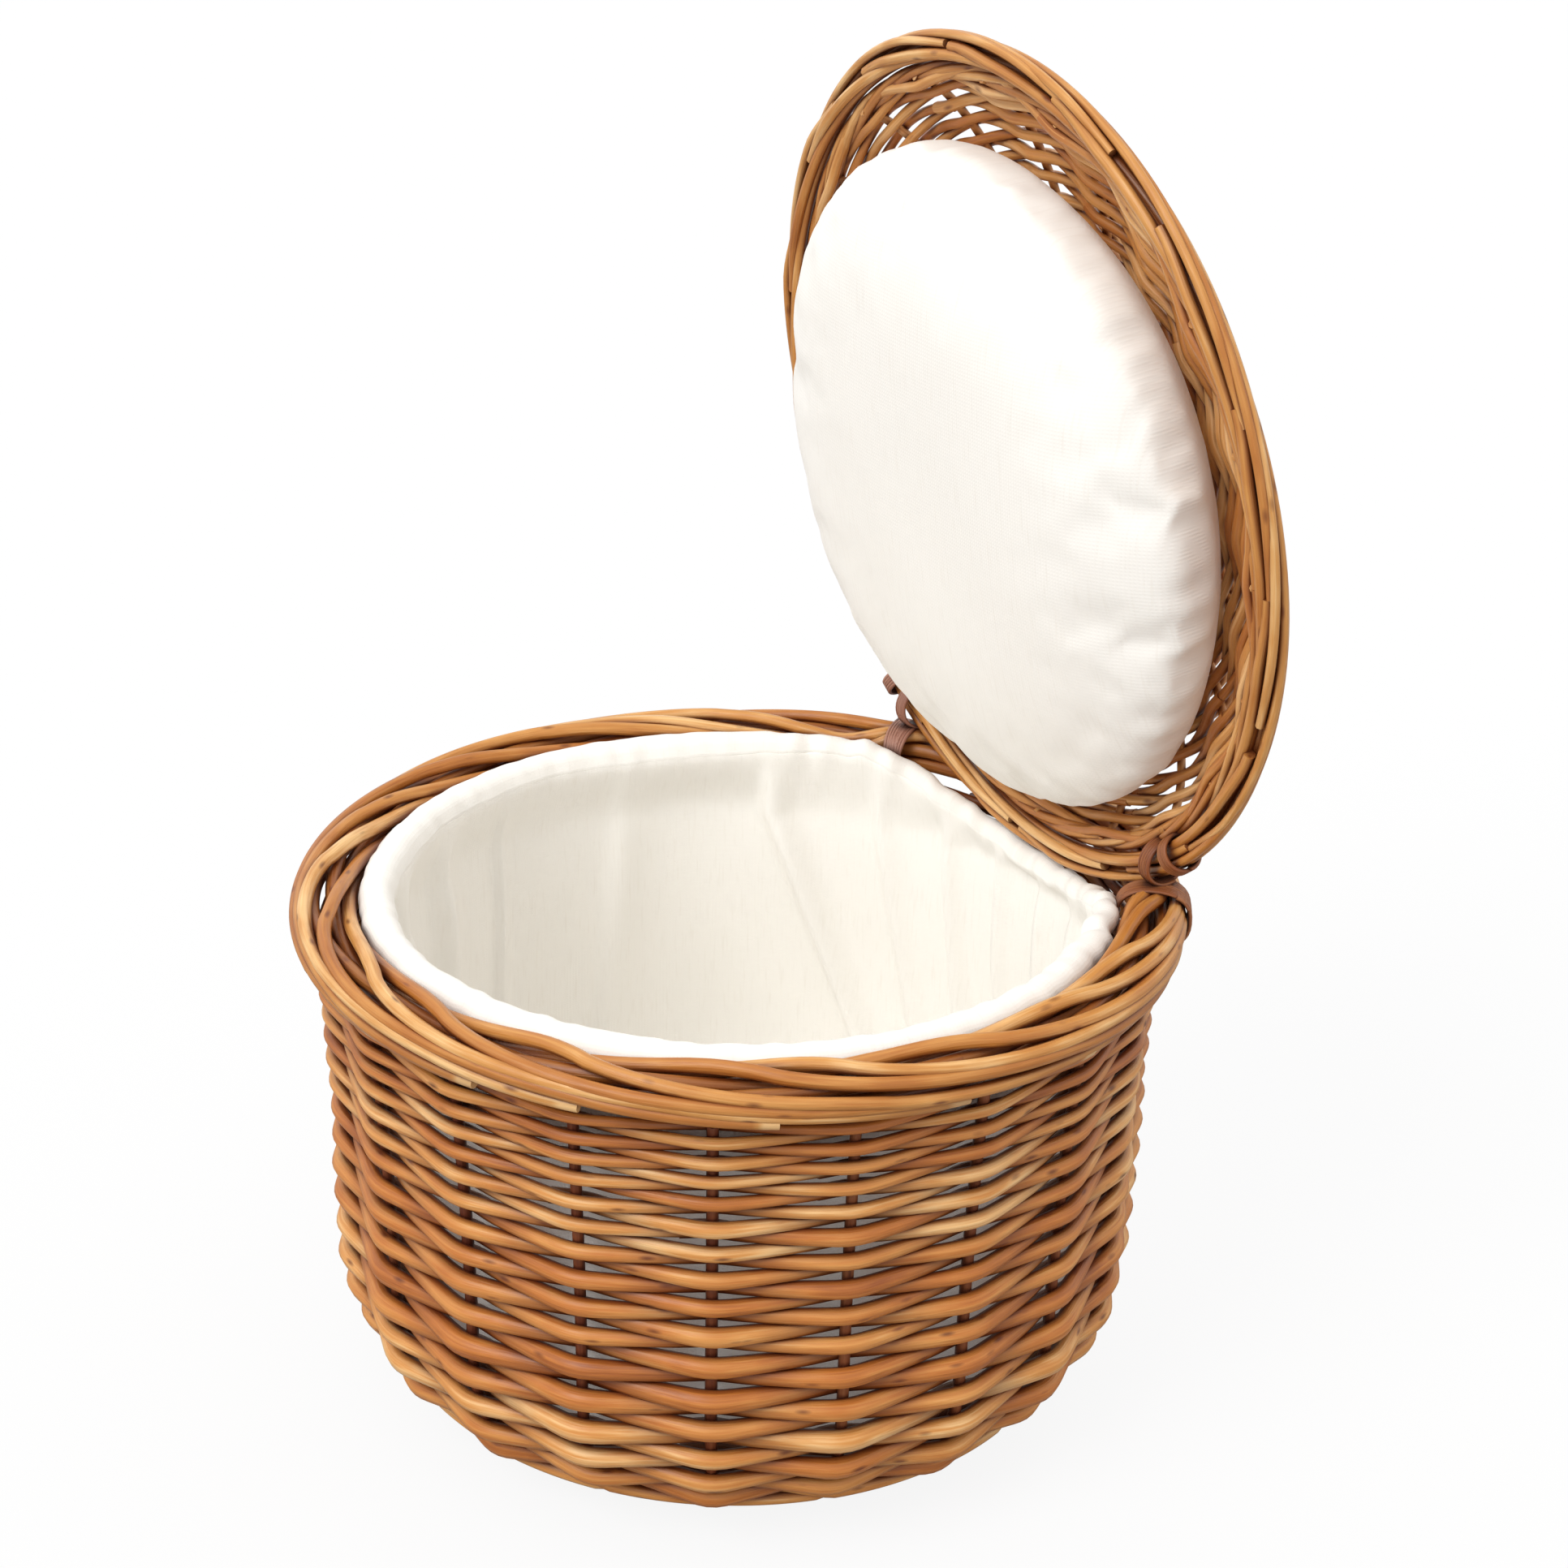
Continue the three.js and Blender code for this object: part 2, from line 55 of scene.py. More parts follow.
def mend(step, **settings):    # one step of edit mode on the whole active piece
    bpy.ops.object.mode_set(mode="EDIT")
    bpy.ops.mesh.select_all(action="SELECT")
    step(**settings)
    bpy.ops.mesh.normals_make_consistent(inside=False)
    bpy.ops.object.mode_set(mode="OBJECT")


def modify(piece, kind, **settings):    # on the active piece
    bpy.ops.object.modifier_add(type=kind)
    modifier = piece.modifiers[-1]
    for key, value in settings.items():
        setattr(modifier, key, value)
    bpy.ops.object.modifier_apply(modifier=modifier.name)


def linear(hexColour):    # an sRGB hex colour as linear RGBA
    parts = [int(hexColour[i:i + 2], 16) / 255 for i in (1, 3, 5)]
    parts = [c / 12.92 if c <= 0.04045 else ((c + 0.055) / 1.055) ** 2.4 for c in parts]
    return (*parts, 1.0)


def addNode(tree, kind, settings=(), links=()):    # a node in links stands for its first output
    node = tree.nodes.new("ShaderNode" + kind)
    for key, value in dict(settings).items():
        if isinstance(key, int) or key in node.inputs:
            node.inputs[key].default_value = value
        else:
            setattr(node, key, value)
    for key, source in dict(links).items():
        socket = source.outputs[0] if isinstance(source, bpy.types.Node) else source
        tree.links.new(socket, node.inputs[key])
    return node


def newMaterial(name):    # and the function that adds a node to it
    material = bpy.data.materials.new(name)
    material.use_nodes = True
    tree = material.node_tree
    tree.nodes.clear()
    return material, partial(addNode, tree)


def setRamp(node, stops):
    ramp = node.color_ramp
    while len(ramp.elements) < len(stops):
        ramp.elements.new(0.5)
    for element, (place, colour) in zip(ramp.elements, stops):
        element.position = place
        element.color = linear(colour)


def smooth(low, high, value):    # 0 at low, 1 at high, eased between them
    share = np.clip((value - low) / (high - low), 0, 1)
    return share * share * (3 - 2 * share)


def readSpots(piece, key="co"):    # where the vertices are, or their normals, in metres
    spots = np.empty(len(piece.data.vertices) * 3)
    piece.data.vertices.foreach_get(key, spots)
    return spots.reshape(-1, 3)


# finishes

# Scales are per metre, across and along a rod: streaks 1.1 mm wide and some 30 mm long, patches of
# varnish and boiled colour some 25 mm long, and bud scars 1.5 mm across, one every 20 mm or so.
# Painted crevice shade is full where only the share named closed of the sky is open.
willow = {
    "streaks": (900, 900, 34), "patches": (120, 120, 40), "scars": (160, 160, 52),
    "shift": 0.8, "stops": (0.0, 0.36, 0.7, 1.0),
    "scarEdge": (0.05, 0.17), "scarStain": 0.75, "closed": 0.4, "paintedCreviceShade": 0.92,
    "diving": (0.3, 0.9), "smoother": 0.08, "rougher": 0.12, "relief": 0.9, "reliefHeight": 0.0004,
}


def willowFinish(name, colours, hidden, roughness, onRods=True, reach=0.004, dived=0.6):
    # Peeled, boiled and varnished willow: a warm rod with streaks along it, small bud scars,
    # a soft gloss, and painted shade where rods touch and where a rod dives behind another.
    # hidden is the colour of the bud scars and of the painted shade
    w = willow
    material, add = newMaterial(name)
    if onRods:
        tone, depth = [add("Attribute", {"attribute_name": key}).outputs["Fac"]
            for key in ("tone", "depth")]
        spot = add("Attribute", {"attribute_name": "rodSpace"}).outputs["Vector"]
    else:    # on a CAD solid, by its place
        spot = add("TexCoord").outputs["Object"]
        tone, depth = [add("TexNoise", {"Scale": scale}, {"Vector": spot}) for scale in (9.0, 30.0)]
    streakMap, patchMap, scarMap = [
        add("Mapping", {"Scale": w[key]}, {"Vector": spot})
        for key in ("streaks", "patches", "scars")]
    # streaks and patches move each rod's own tone up and down the ramp
    shift = {"operation": "MULTIPLY_ADD", 1: w["shift"], 2: -w["shift"] / 2}
    streaks = add("TexNoise", {"Scale": 1.0, "Detail": 3.0, "Roughness": 0.6},
        {"Vector": streakMap})
    patches = add("TexNoise", {"Scale": 1.0, "Detail": 2.0}, {"Vector": patchMap})
    streakShift = add("Math", shift, {0: streaks})
    patchShift = add("Math", shift, {0: patches})
    shifted = add("Math", {"operation": "ADD"}, {0: tone, 1: streakShift})
    place = add("Math", {"operation": "ADD", "use_clamp": True}, {0: shifted, 1: patchShift})
    ramp = add("ValToRGB", {}, {"Fac": place})
    setRamp(ramp, list(zip(w["stops"], colours)))
    # bud scars
    scars = add("TexVoronoi", {"Scale": 1.0}, {"Vector": scarMap})
    scarFrom, scarTo = w["scarEdge"]
    scarShade = add("MapRange", {"From Min": scarFrom, "From Max": scarTo,
        "To Min": w["scarStain"], "To Max": 0.0}, {"Value": scars})
    scarred = add("Mix", {"data_type": "RGBA", 7: linear(hidden)}, {0: scarShade, 6: ramp})
    # painted shade: darker where rods touch, within the reach, and where a rod dives
    crevice = add("AmbientOcclusion", {"samples": 8, "Distance": reach})
    nearby = add("MapRange", {"From Min": 1.0, "From Max": w["closed"],
        "To Max": w["paintedCreviceShade"]}, {"Value": crevice.outputs["AO"]})
    diveFrom, diveTo = w["diving"]
    dive = add("MapRange", {"From Min": diveFrom, "From Max": diveTo, "To Max": dived},
        {"Value": depth})
    paintedShade = add("Math", {"operation": "MAXIMUM"}, {0: nearby, 1: dive})
    withPaintedShade = add("Mix", {"data_type": "RGBA", 7: linear(hidden)},
        {0: paintedShade, 6: scarred.outputs[2]})
    gloss = add("MapRange", {"To Min": roughness - w["smoother"],
        "To Max": roughness + w["rougher"]}, {"Value": streaks})
    relief = add("Bump", {"Strength": w["relief"], "Distance": w["reliefHeight"]},
        {"Height": streaks})
    shader = add("BsdfPrincipled", {"IOR": 1.5, "Specular IOR Level": 0.4,
        "Coat Weight": 0.15, "Coat Roughness": 0.3},
        {"Base Color": withPaintedShade.outputs[2], "Roughness": gloss, "Normal": relief})
    add("OutputMaterial", {}, {"Surface": shader})
    return material


# Scales are per metre of cloth. Real threads are 0.4 mm apart, too fine to show, so the weave is
# drawn at 1.2 mm; slubs are 1.1 mm wide and some 17 mm long.
cotton = {
    "threads": 260.0, "wavy": 0.6, "slubs": (900, 60, 1), "slubEdge": (0.55, 0.8),
    "slubStain": 0.3, "clouds": 16.0, "relief": 0.25, "reliefHeight": 0.0002,
}


def cottonFinish(name, cloth, fold, slub, through=0.0):
    # Unbleached calico, plain woven: matt, a little fuzzy at grazing angles.
    c = cotton
    material, add = newMaterial(name)
    flat = add("UVMap", {"uv_map": "cloth"})
    warp, weft = [add("TexWave", {"wave_type": "BANDS", "bands_direction": way,
        "Scale": c["threads"], "Distortion": c["wavy"],
        "Detail": 1.0}, {"Vector": flat}).outputs["Fac"] for way in ("X", "Y")]
    threads = add("Math", {"operation": "MULTIPLY"}, {0: warp, 1: weft})
    slubMap = add("Mapping", {"Scale": c["slubs"]}, {"Vector": flat})
    slubs = add("TexNoise", {"Scale": 1.0, "Detail": 2.0}, {"Vector": slubMap})
    coords = add("TexCoord")
    clouds = add("TexNoise", {"Scale": c["clouds"], "Detail": 2.0},
        {"Vector": coords.outputs["Object"]})
    base = add("Mix", {"data_type": "RGBA", 6: linear(cloth), 7: linear(fold)}, {0: clouds})
    slubFrom, slubTo = c["slubEdge"]
    slubShade = add("MapRange", {"From Min": slubFrom, "From Max": slubTo,
        "To Max": c["slubStain"]}, {"Value": slubs})
    slubbed = add("Mix", {"data_type": "RGBA", 7: linear(slub)},
        {0: slubShade, 6: base.outputs[2]}).outputs[2]
    heights = add("Math", {"operation": "ADD"}, {0: threads, 1: slubs})
    relief = add("Bump", {"Strength": c["relief"], "Distance": c["reliefHeight"]},
        {"Height": heights})
    surface = add("BsdfPrincipled", {"Roughness": 0.92, "IOR": 1.45,
        "Specular IOR Level": 0.25, "Sheen Weight": 0.12, "Sheen Roughness": 0.5},
        {"Base Color": slubbed, "Normal": relief})
    if through:    # daylight that comes through the thin cloth, seen in the gaps of the weave
        material.cycles.emission_sampling = "NONE"
        outside = add("Attribute", {"attribute_name": "outside"}).outputs["Fac"]
        strength = add("Math", {"operation": "MULTIPLY", 1: through}, {0: outside})
        lit = add("Emission", {}, {"Color": slubbed, "Strength": strength})
        surface = add("AddShader", {}, {0: surface, 1: lit})
    add("OutputMaterial", {}, {"Surface": surface})
    return material


print("finishes")
# the second colour of each willow is its bud scars and its painted shade
# side and base: honey brown rods, with red brown painted shade in the crossings, where the gaps are
# deep
weaveWillow = willowFinish("varnishedWillowRod", ("#9A5220", "#C47632", "#DC9850", "#F8CA8C"),
    "#561C08", 0.42, reach=0.006, dived=0.8)
# lid: the same rods, paler in the gaps, since light gets behind them
lidWillow = willowFinish("varnishedLidRod", ("#9A5422", "#BE7636", "#D79852", "#F4C488"),
    "#6A2E14", 0.42, reach=0.0025, dived=0.5)
# borders: smooth thick rods with a soft shine
borderWillow = willowFinish("varnishedBorderRod", ("#9A5420", "#BC7632", "#D4954E", "#F2C486"),
    "#682C10", 0.4)
# stakes: darker, duller rods that only show in the gaps
stakeWillow = willowFinish("darkWillowStake", ("#5E2410", "#80401E", "#9E5A30", "#B67446"),
    "#421608", 0.5)
# ties: split skein, its dull inner face out, greyish at the left and brown at the right
skeinWillow = willowFinish("splitWillowSkein", ("#7A4A3C", "#9A6854", "#B48470", "#CCA28E"),
    "#3A1E16", 0.5)
brownSkein = willowFinish("splitWillowSkeinBrown", ("#6A3418", "#8A4C26", "#A86A3C", "#C08658"),
    "#34140A", 0.5)
# sticks of the base: bare and dry, without varnish
baseWillow = willowFinish("bareWillowStick", ("#8A4A26", "#A9673A", "#BE7F4E", "#CF9767"),
    "#3E1C0E", 0.55, onRods=False)
# pad and lining: the same off-white calico, over wadding and alone
calico = cottonFinish("calicoOverWadding", "#FEFBF5", "#FAF6EF", "#ECE5D9")
liningCalico = cottonFinish("thinCalico", "#FDFAF4", "#F8F5EE", "#EAE4D9", through=0.13)


# rods: points (n x 3) and radii in mm, a tone, and a depth that says how hidden each point is and
# sets its painted shade

rodShift = 0.37    # metres of the willow's pattern from one rod to the next
sharpest = math.radians(50)    # edges sharper than this, at a rod's cut end, aren't smoothed


def rodOf(points, radii, tone, depth):
    count = len(points)
    return {"points": points, "radii": np.broadcast_to(np.asarray(radii, float), count),
        "tone": np.broadcast_to(tone, count), "depth": np.broadcast_to(depth, count)}


def layRods(name, rods, finish, sides=8):    # one mesh of all the rods
    curve = bpy.data.curves.new(name, "CURVE")
    curve.dimensions = "3D"
    curve.bevel_depth = 1.0
    curve.bevel_resolution = (sides - 4) // 2
    for rod in rods:
        count = len(rod["points"])
        spline = curve.splines.new("POLY")
        spline.points.add(count - 1)
        spots = np.ones((count, 4))
        spots[:, :3] = np.asarray(rod["points"]) * mm
        spline.points.foreach_set("co", spots.ravel())
        spline.points.foreach_set("radius", rod["radii"] * mm)
    piece = bpy.data.objects.new(name, curve)
    scene.collection.objects.link(piece)
    selectOnly(piece)
    bpy.ops.object.convert(target="MESH")
    mesh = piece.data
    tones, depths, spaces = [], [], []
    turn = np.arange(sides) * fullTurn / sides
    for index, rod in enumerate(rods):
        steps = np.linalg.norm(np.diff(rod["points"], axis=0), axis=1)
        along = np.concatenate([[0], np.cumsum(steps)]) * mm + rodShift * index
        radii = rod["radii"] * mm
        tones.append(np.repeat(rod["tone"], sides))
        depths.append(np.repeat(rod["depth"], sides))
        ring = np.stack([np.outer(radii, np.cos(turn)), np.outer(radii, np.sin(turn)),
            np.repeat(along[:, None], sides, axis=1)], axis=2)
        spaces.append(ring.reshape(-1, 3))
    for key, kind, field, values in (("tone", "FLOAT", "value", tones),
            ("depth", "FLOAT", "value", depths), ("rodSpace", "FLOAT_VECTOR", "vector", spaces)):
        layer = mesh.attributes.new(key, kind, "POINT")
        layer.data.foreach_set(field, np.concatenate(values).astype(np.float32).ravel())
    mend(bpy.ops.mesh.fill_holes, sides=sides)
    bpy.ops.object.shade_smooth_by_angle(angle=sharpest)
    mesh.materials.clear()
    mesh.materials.append(finish)
    return piece


def around(angle, radius, height):
    angle, radius, height = np.broadcast_arrays(angle, radius, height)
    return np.stack([radius * np.cos(angle), radius * np.sin(angle), height], axis=-1)


def anyPhase(rng):
    return rng.uniform(0, 6.3)


def wander(rng, count, waves, size):    # a smooth random line, about size either way
    share = np.linspace(0, 1, count)
    line = np.zeros(count)
    for wave in range(1, waves + 1):
        line += rng.uniform(-1, 1) / wave * np.sin(fullTurn * wave * share * 0.5 + anyPhase(rng))
    return line * size


def withNormals(line):    # lengths along a line, its points and its normals
    length = np.concatenate([[0], np.cumsum(np.linalg.norm(np.diff(line, axis=0), axis=1))])
    run = np.gradient(line, length, axis=0)
    run /= np.linalg.norm(run, axis=1)[:, None]
    return length, line, np.stack([run[:, 1], -run[:, 0]], axis=1)


def offLine(length, line, normals, along, off):    # radius and height beside a line
    return [np.interp(along, length, line[:, i]) + off * np.interp(along, length, normals[:, i])
        for i in (0, 1)]


# the side's line: the stakes' middle as radius and height, mm
side = {
    "foot": 73.955, "edge": 91.955, "stakeHeight": 9.65, "radius": 132.5, "shoulder": 62.04,
    "flare": 5.5, "top": 168.45, "cornerLift": 1.72, "cornerUp": 0.44,
    "stakes": 20, "stakeRadius": 2.3, "firstStake": math.radians(3.8),
}


def bezier(spots, share):
    spots = [np.array(spot, float) for spot in spots]
    share = share[:, None]
    while len(spots) > 1:
        spots = [a * (1 - share) + b * share for a, b in zip(spots, spots[1:])]
    return spots[0]


def sideLine():
    s = side
    share = np.linspace(0, 1, 160)
    corner = [(s["edge"], s["stakeHeight"]),
        ((s["edge"] + s["radius"]) / 2, s["cornerLift"] * s["stakeHeight"]),
        (s["radius"] - 1, s["cornerUp"] * s["shoulder"]), (s["radius"], s["shoulder"])]
    wall = [corner[-1], (s["radius"] + 0.1 * s["flare"], (s["shoulder"] + s["top"]) / 2),
        (s["radius"] + s["flare"], s["top"])]
    return np.concatenate([[(s["foot"], s["stakeHeight"])], bezier(corner, share),
        bezier(wall, share)[1:]])


sideLength, sidePoints, sideOut = withNormals(sideLine())


def sidePoint(along, out):    # at a length up the side, so far out from the stakes
    return offLine(sideLength, sidePoints, sideOut, along, out)


def inAndOut(turns):    # 1 in front of a stake, -1 behind the next, nearly straight between
    turns = np.pi * turns
    return (np.cos(turns) + 0.105 * np.cos(3 * turns) + 0.02 * np.cos(5 * turns)) / 1.125


stakeStep = fullTurn / side["stakes"]

# side weave: single rods in front of one stake and behind the next
sideWeave = {
    "bottom": 46.0, "top": 170.2, "rows": 30, "evenRows": 8, "evenPitch": 5.9, "lastPitch": 3.1,
    "span": 10, "overlap": 0.5, "steps": 14, "seed": 11,
    "thick": 0.6, "uneven": (0.92, 1.08), "taper": (1.05, 0.93), "lumps": 0.05, "squeeze": 0.14,
    "swing": 1.5, "press": 0.62, "tuck": 0.8, "tuckOver": (0.1, 0.5), "sway": 0.42,
    "crossing": 0.1, "tones": (0.28, 0.85),
}


def sideWeaveRods():
    w = sideWeave
    rng = random.Random(w["seed"])
    weaveTop = float(np.interp(w["top"], sidePoints[:, 1], sideLength))
    closing = np.linspace(w["evenPitch"], w["lastPitch"], w["rows"] - w["evenRows"])
    pitches = np.concatenate([np.full(w["evenRows"], w["evenPitch"]), closing])
    pitches *= (weaveTop - w["bottom"]) / pitches.sum()
    middles = w["bottom"] + np.cumsum(pitches) - pitches / 2
    rods = []
    for row, (middle, pitch) in enumerate(zip(middles, pitches)):
        first = 2 * rng.randrange(side["stakes"] // 4) + (row + 1) % 2
        for part in range(2):
            count = int((w["span"] + w["overlap"]) * w["steps"]) + 1
            turns = first + part * w["span"] - w["overlap"] / 2 + np.arange(count) / w["steps"]
            wave = inAndOut(turns - row % 2)
            radii = w["thick"] * pitch * rng.uniform(*w["uneven"]) * np.linspace(*w["taper"], count)
            radii *= 1 + wander(rng, count, 9, w["lumps"])
            radii *= 1 - w["squeeze"] + w["squeeze"] * np.abs(wave)    # thinner where rods cross
            ends = np.minimum(np.arange(count), np.arange(count)[::-1]) / w["steps"]
            tuck = w["tuck"] * (1 - smooth(*w["tuckOver"], ends))
            out = wave * (w["swing"] + radii * w["press"]) - tuck
            along = middle + wander(rng, count, 14, w["sway"])
            along = along + pitch * (0.5 - part) * w["crossing"]
            angle = side["firstStake"] + turns * stakeStep
            # the depth paints shade where the rod goes behind a stake
            rods.append(rodOf(around(angle, *sidePoint(along, out)), radii,
                rng.uniform(*w["tones"]), 0.5 - 0.5 * wave))
    return rods


print("side weave")
sideWeavePiece = layRods("sideWeave", sideWeaveRods(), weaveWillow)
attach(sideWeavePiece, "basket")
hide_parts("weave_outer", "weave_inner")


# stakes: bent from the base up the side
stakes = {"bend": (0, 60, 16), "wallFrom": 66, "wallPoints": 14, "butt": 2.2, "tip": 1.9,
    "tones": (0.3, 0.8), "hidden": 0.6, "seed": 5}


def stakeRods():
    s = stakes
    rng = random.Random(s["seed"])
    along = np.concatenate([np.linspace(*s["bend"]),
        np.linspace(s["wallFrom"], sideLength[-1], s["wallPoints"])])
    radii = np.linspace(s["butt"], s["tip"], len(along))
    # each stake's hidden value gives it the same painted shade all along
    return [rodOf(around(side["firstStake"] + i * stakeStep, *sidePoint(along, 0)), radii,
        rng.uniform(*s["tones"]), s["hidden"]) for i in range(side["stakes"])]


print("stakes")
stakesPiece = layRods("stakes", stakeRods(), stakeWillow)
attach(stakesPiece, "basket")
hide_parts(*[f"stake_{i + 1:02d}" for i in range(side["stakes"])])

# waling: three rods to a round, each in front of two stakes and behind the third
waling = {
    "first": 21.5, "pitch": 7.15, "rounds": 4, "strands": 3, "radius": 2.3, "lumps": 0.06,
    "swing": 1.15, "forward": 0.28, "front": 0.7, "behind": 1.6, "behindRod": 0.4, "fall": 2.1,
    "sway": 0.7, "tones": (0.25, 0.75), "hidden": 0.45, "steps": 12, "seed": 23,
}


def waleRods():
    w = waling
    rng = random.Random(w["seed"])
    count = side["stakes"] * w["steps"] + 1
    turns = np.arange(count) / w["steps"]
    rods = []
    for level in range(w["rounds"]):
        for strand in range(w["strands"]):
            place = ((turns + strand + level) / 3) % 1    # 0 behind a stake, 1/3 and 2/3 in front
            radii = w["radius"] * (1 + wander(rng, count, 7, w["lumps"]))
            wave = np.clip(-np.cos(fullTurn * place) * w["swing"] + w["forward"], -1, 1)
            out = np.where(wave > 0, wave * (side["stakeRadius"] + w["front"] * radii),
                wave * (w["behind"] + radii * w["behindRod"]))
            fall = w["fall"] * np.cos(np.pi * place)
            along = w["first"] + level * w["pitch"] + fall + wander(rng, count, 14, w["sway"])
            angle = side["firstStake"] + turns * stakeStep
            # the depth paints shade where the strand goes behind a stake
            rods.append(rodOf(around(angle, *sidePoint(along, out)), radii,
                rng.uniform(*w["tones"]), w["hidden"] - w["hidden"] * wave))
    return rods


print("waling")
walePiece = layRods("waling", waleRods(), weaveWillow)
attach(walePiece, "basket")
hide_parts("wale_1", "wale_2", "wale_3", "wale_4")


# a woven round: three sticks laid one way and two the other, opened out to ten spokes, mm
crossing = {
    # heading, lanes, spacing of the lanes, level of the layer
    "groups": ((0.0, (-1, 0, 1), 3.3, -0.5), (math.pi / 2, (-0.5, 0.5), 3.6, 0.5)),
    "spokes": 10, "spokeAngle": math.radians(36), "open": (9, 30), "stepUp": (8, 20),
    "tones": (0.3, 0.8), "hidden": 0.2,
}


def spreadSticks(place, reach, rng, stickRadius):
    x = crossing
    rods = []
    for heading, lanes, spacing, level in x["groups"]:
        for lane in lanes:
            run = np.linspace(-reach, reach, 41)
            opening = smooth(*x["open"], np.abs(run))
            radius = np.minimum(np.hypot(run, lane * spacing), reach)
            fan = np.arctan2(lane * spacing, np.abs(run)) * (1 - opening)
            fan = fan + x["spokeAngle"] * lane * opening
            angle = heading + np.where(run > 0, fan, math.pi - fan)
            height = level * 2 * stickRadius * (1 - smooth(*x["stepUp"], radius))
            rods.append(rodOf(place(angle, radius, height), stickRadius, rng.uniform(*x["tones"]),
                x["hidden"]))
    return rods


# base: flat rounds of weave under the lining
base = {
    "outer": 96.5, "inner": 13.0, "pitch": 3.9, "rod": 1.7, "stick": 1.7, "middle": 3.5,
    "swing": 1.75, "lumps": 0.05, "sway": 0.3, "tones": (0.25, 0.7), "hidden": 0.4,
    "hiddenSwing": 0.3, "steps": 10, "seed": 31,
}


def basePlace(angle, radius, height):
    return around(angle, radius, base["middle"] + height)


def baseRods():
    b = base
    rng = random.Random(b["seed"])
    rods = spreadSticks(basePlace, b["outer"] - 2, rng, b["stick"])
    rounds = int((b["outer"] - b["inner"]) / b["pitch"])
    count = crossing["spokes"] * b["steps"] + 1
    for row in range(rounds + 1):
        radius = b["inner"] + row * (b["outer"] - b["inner"]) / rounds
        turns = np.arange(count) / b["steps"] + rng.randrange(crossing["spokes"])
        wave = inAndOut(turns - row % 2)
        radii = b["rod"] * (1 + wander(rng, count, 5, b["lumps"]))
        angle = turns * fullTurn / crossing["spokes"]
        points = basePlace(angle, radius + wander(rng, count, 6, b["sway"]), wave * b["swing"])
        # the depth paints shade where the round passes over a stick
        rods.append(rodOf(points, radii, rng.uniform(*b["tones"]),
            b["hidden"] + b["hiddenSwing"] * wave))
    return rods


print("base weave")
basePiece = layRods("baseWeave", baseRods(), weaveWillow)
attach(basePiece, "basket")
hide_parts("base_disc")

# hinge: the lid turns about a line through its rim, behind which the rim dips as it opens
hinge = {
    "offset": 118.001, "height": 196.694, "halfSpan": 76.63, "angle": math.radians(-82),
    "rim": 140.7, "tube": 5.3, "room": 1.2,
}


def opened(points):    # from the shut lid's place to the open one at rest
    points = np.asarray(points, float)
    c, s = math.cos(hinge["angle"]), math.sin(hinge["angle"])
    y, z = points[..., 1] - hinge["offset"], points[..., 2]
    return np.stack([points[..., 0], hinge["offset"] + y * c - z * s,
        hinge["height"] + y * s + z * c], axis=-1)


def behindHinge(x):    # how far the lid's rim stands behind the hinge line
    return np.sqrt(np.maximum(hinge["rim"] ** 2 - x ** 2, 0)) - hinge["offset"]


def clearOfLid(points, radii):    # moves rods out of the way of the lid's dipping rim
    points = np.array(points, float)
    behind = np.maximum(behindHinge(points[:, 0]), -20)
    reach = behind + hinge["tube"] + hinge["room"] + np.asarray(radii)
    y, z = points[:, 1] - hinge["offset"], points[:, 2] - hinge["height"]
    distance = np.hypot(y, z)
    near = (points[:, 1] > 60) & (distance < reach)
    push = np.where(near, reach / np.maximum(distance, 1e-6), 1.0)
    points[:, 1] = hinge["offset"] + y * push
    points[:, 2] = hinge["height"] + z * push
    return points


# border: each stake is laid down to the right, inside its neighbours, over the top and along the
# outside, with thin rods inside the roll
border = {
    "middle": 138.5, "height": 178.4, "wide": 11.5, "deep": 9.6, "square": 0.8,
    "span": math.radians(145), "steps": 84, "uneven": (0.88, 1.04), "seed": 41,
    "knots": (0, 10, 24, 42, 58, 74, 145),    # degrees round the mouth
    "turns": (262, 220, 178, 145, 80, 35, -52),    # place round the section: 0 outside, 90 on top
    "easing": 9, "twist": 12,    # points to average over, degrees
    "fat": 2.65, "thin": 2.0, "unevenRod": (0.94, 1.06), "lumps": 0.04, "sink": 0.9,
    "hingeZone": (math.radians(28), math.radians(46)),    # from the back, where rods keep
    "hingeTurns": (math.radians(-60), math.radians(70)),    # to the outside of the section
    "crest": 1.8, "crestAt": 112, "crestWidth": 34, "tones": (0.35, 0.9), "cutTone": 1.1,
    "coreRods": 3, "coreRadius": 2.6, "coreWide": 4.2, "coreDeep": 3.0, "coreTurns": 3,
}


def borderSection(turn, inset):    # radius and height on the border's rounded oblong section
    b = border
    c, s = np.cos(turn), np.sin(turn)
    return (b["middle"] + (b["wide"] - inset) * np.sign(c) * np.abs(c) ** b["square"],
        b["height"] + (b["deep"] - inset) * np.sign(s) * np.abs(s) ** b["square"])


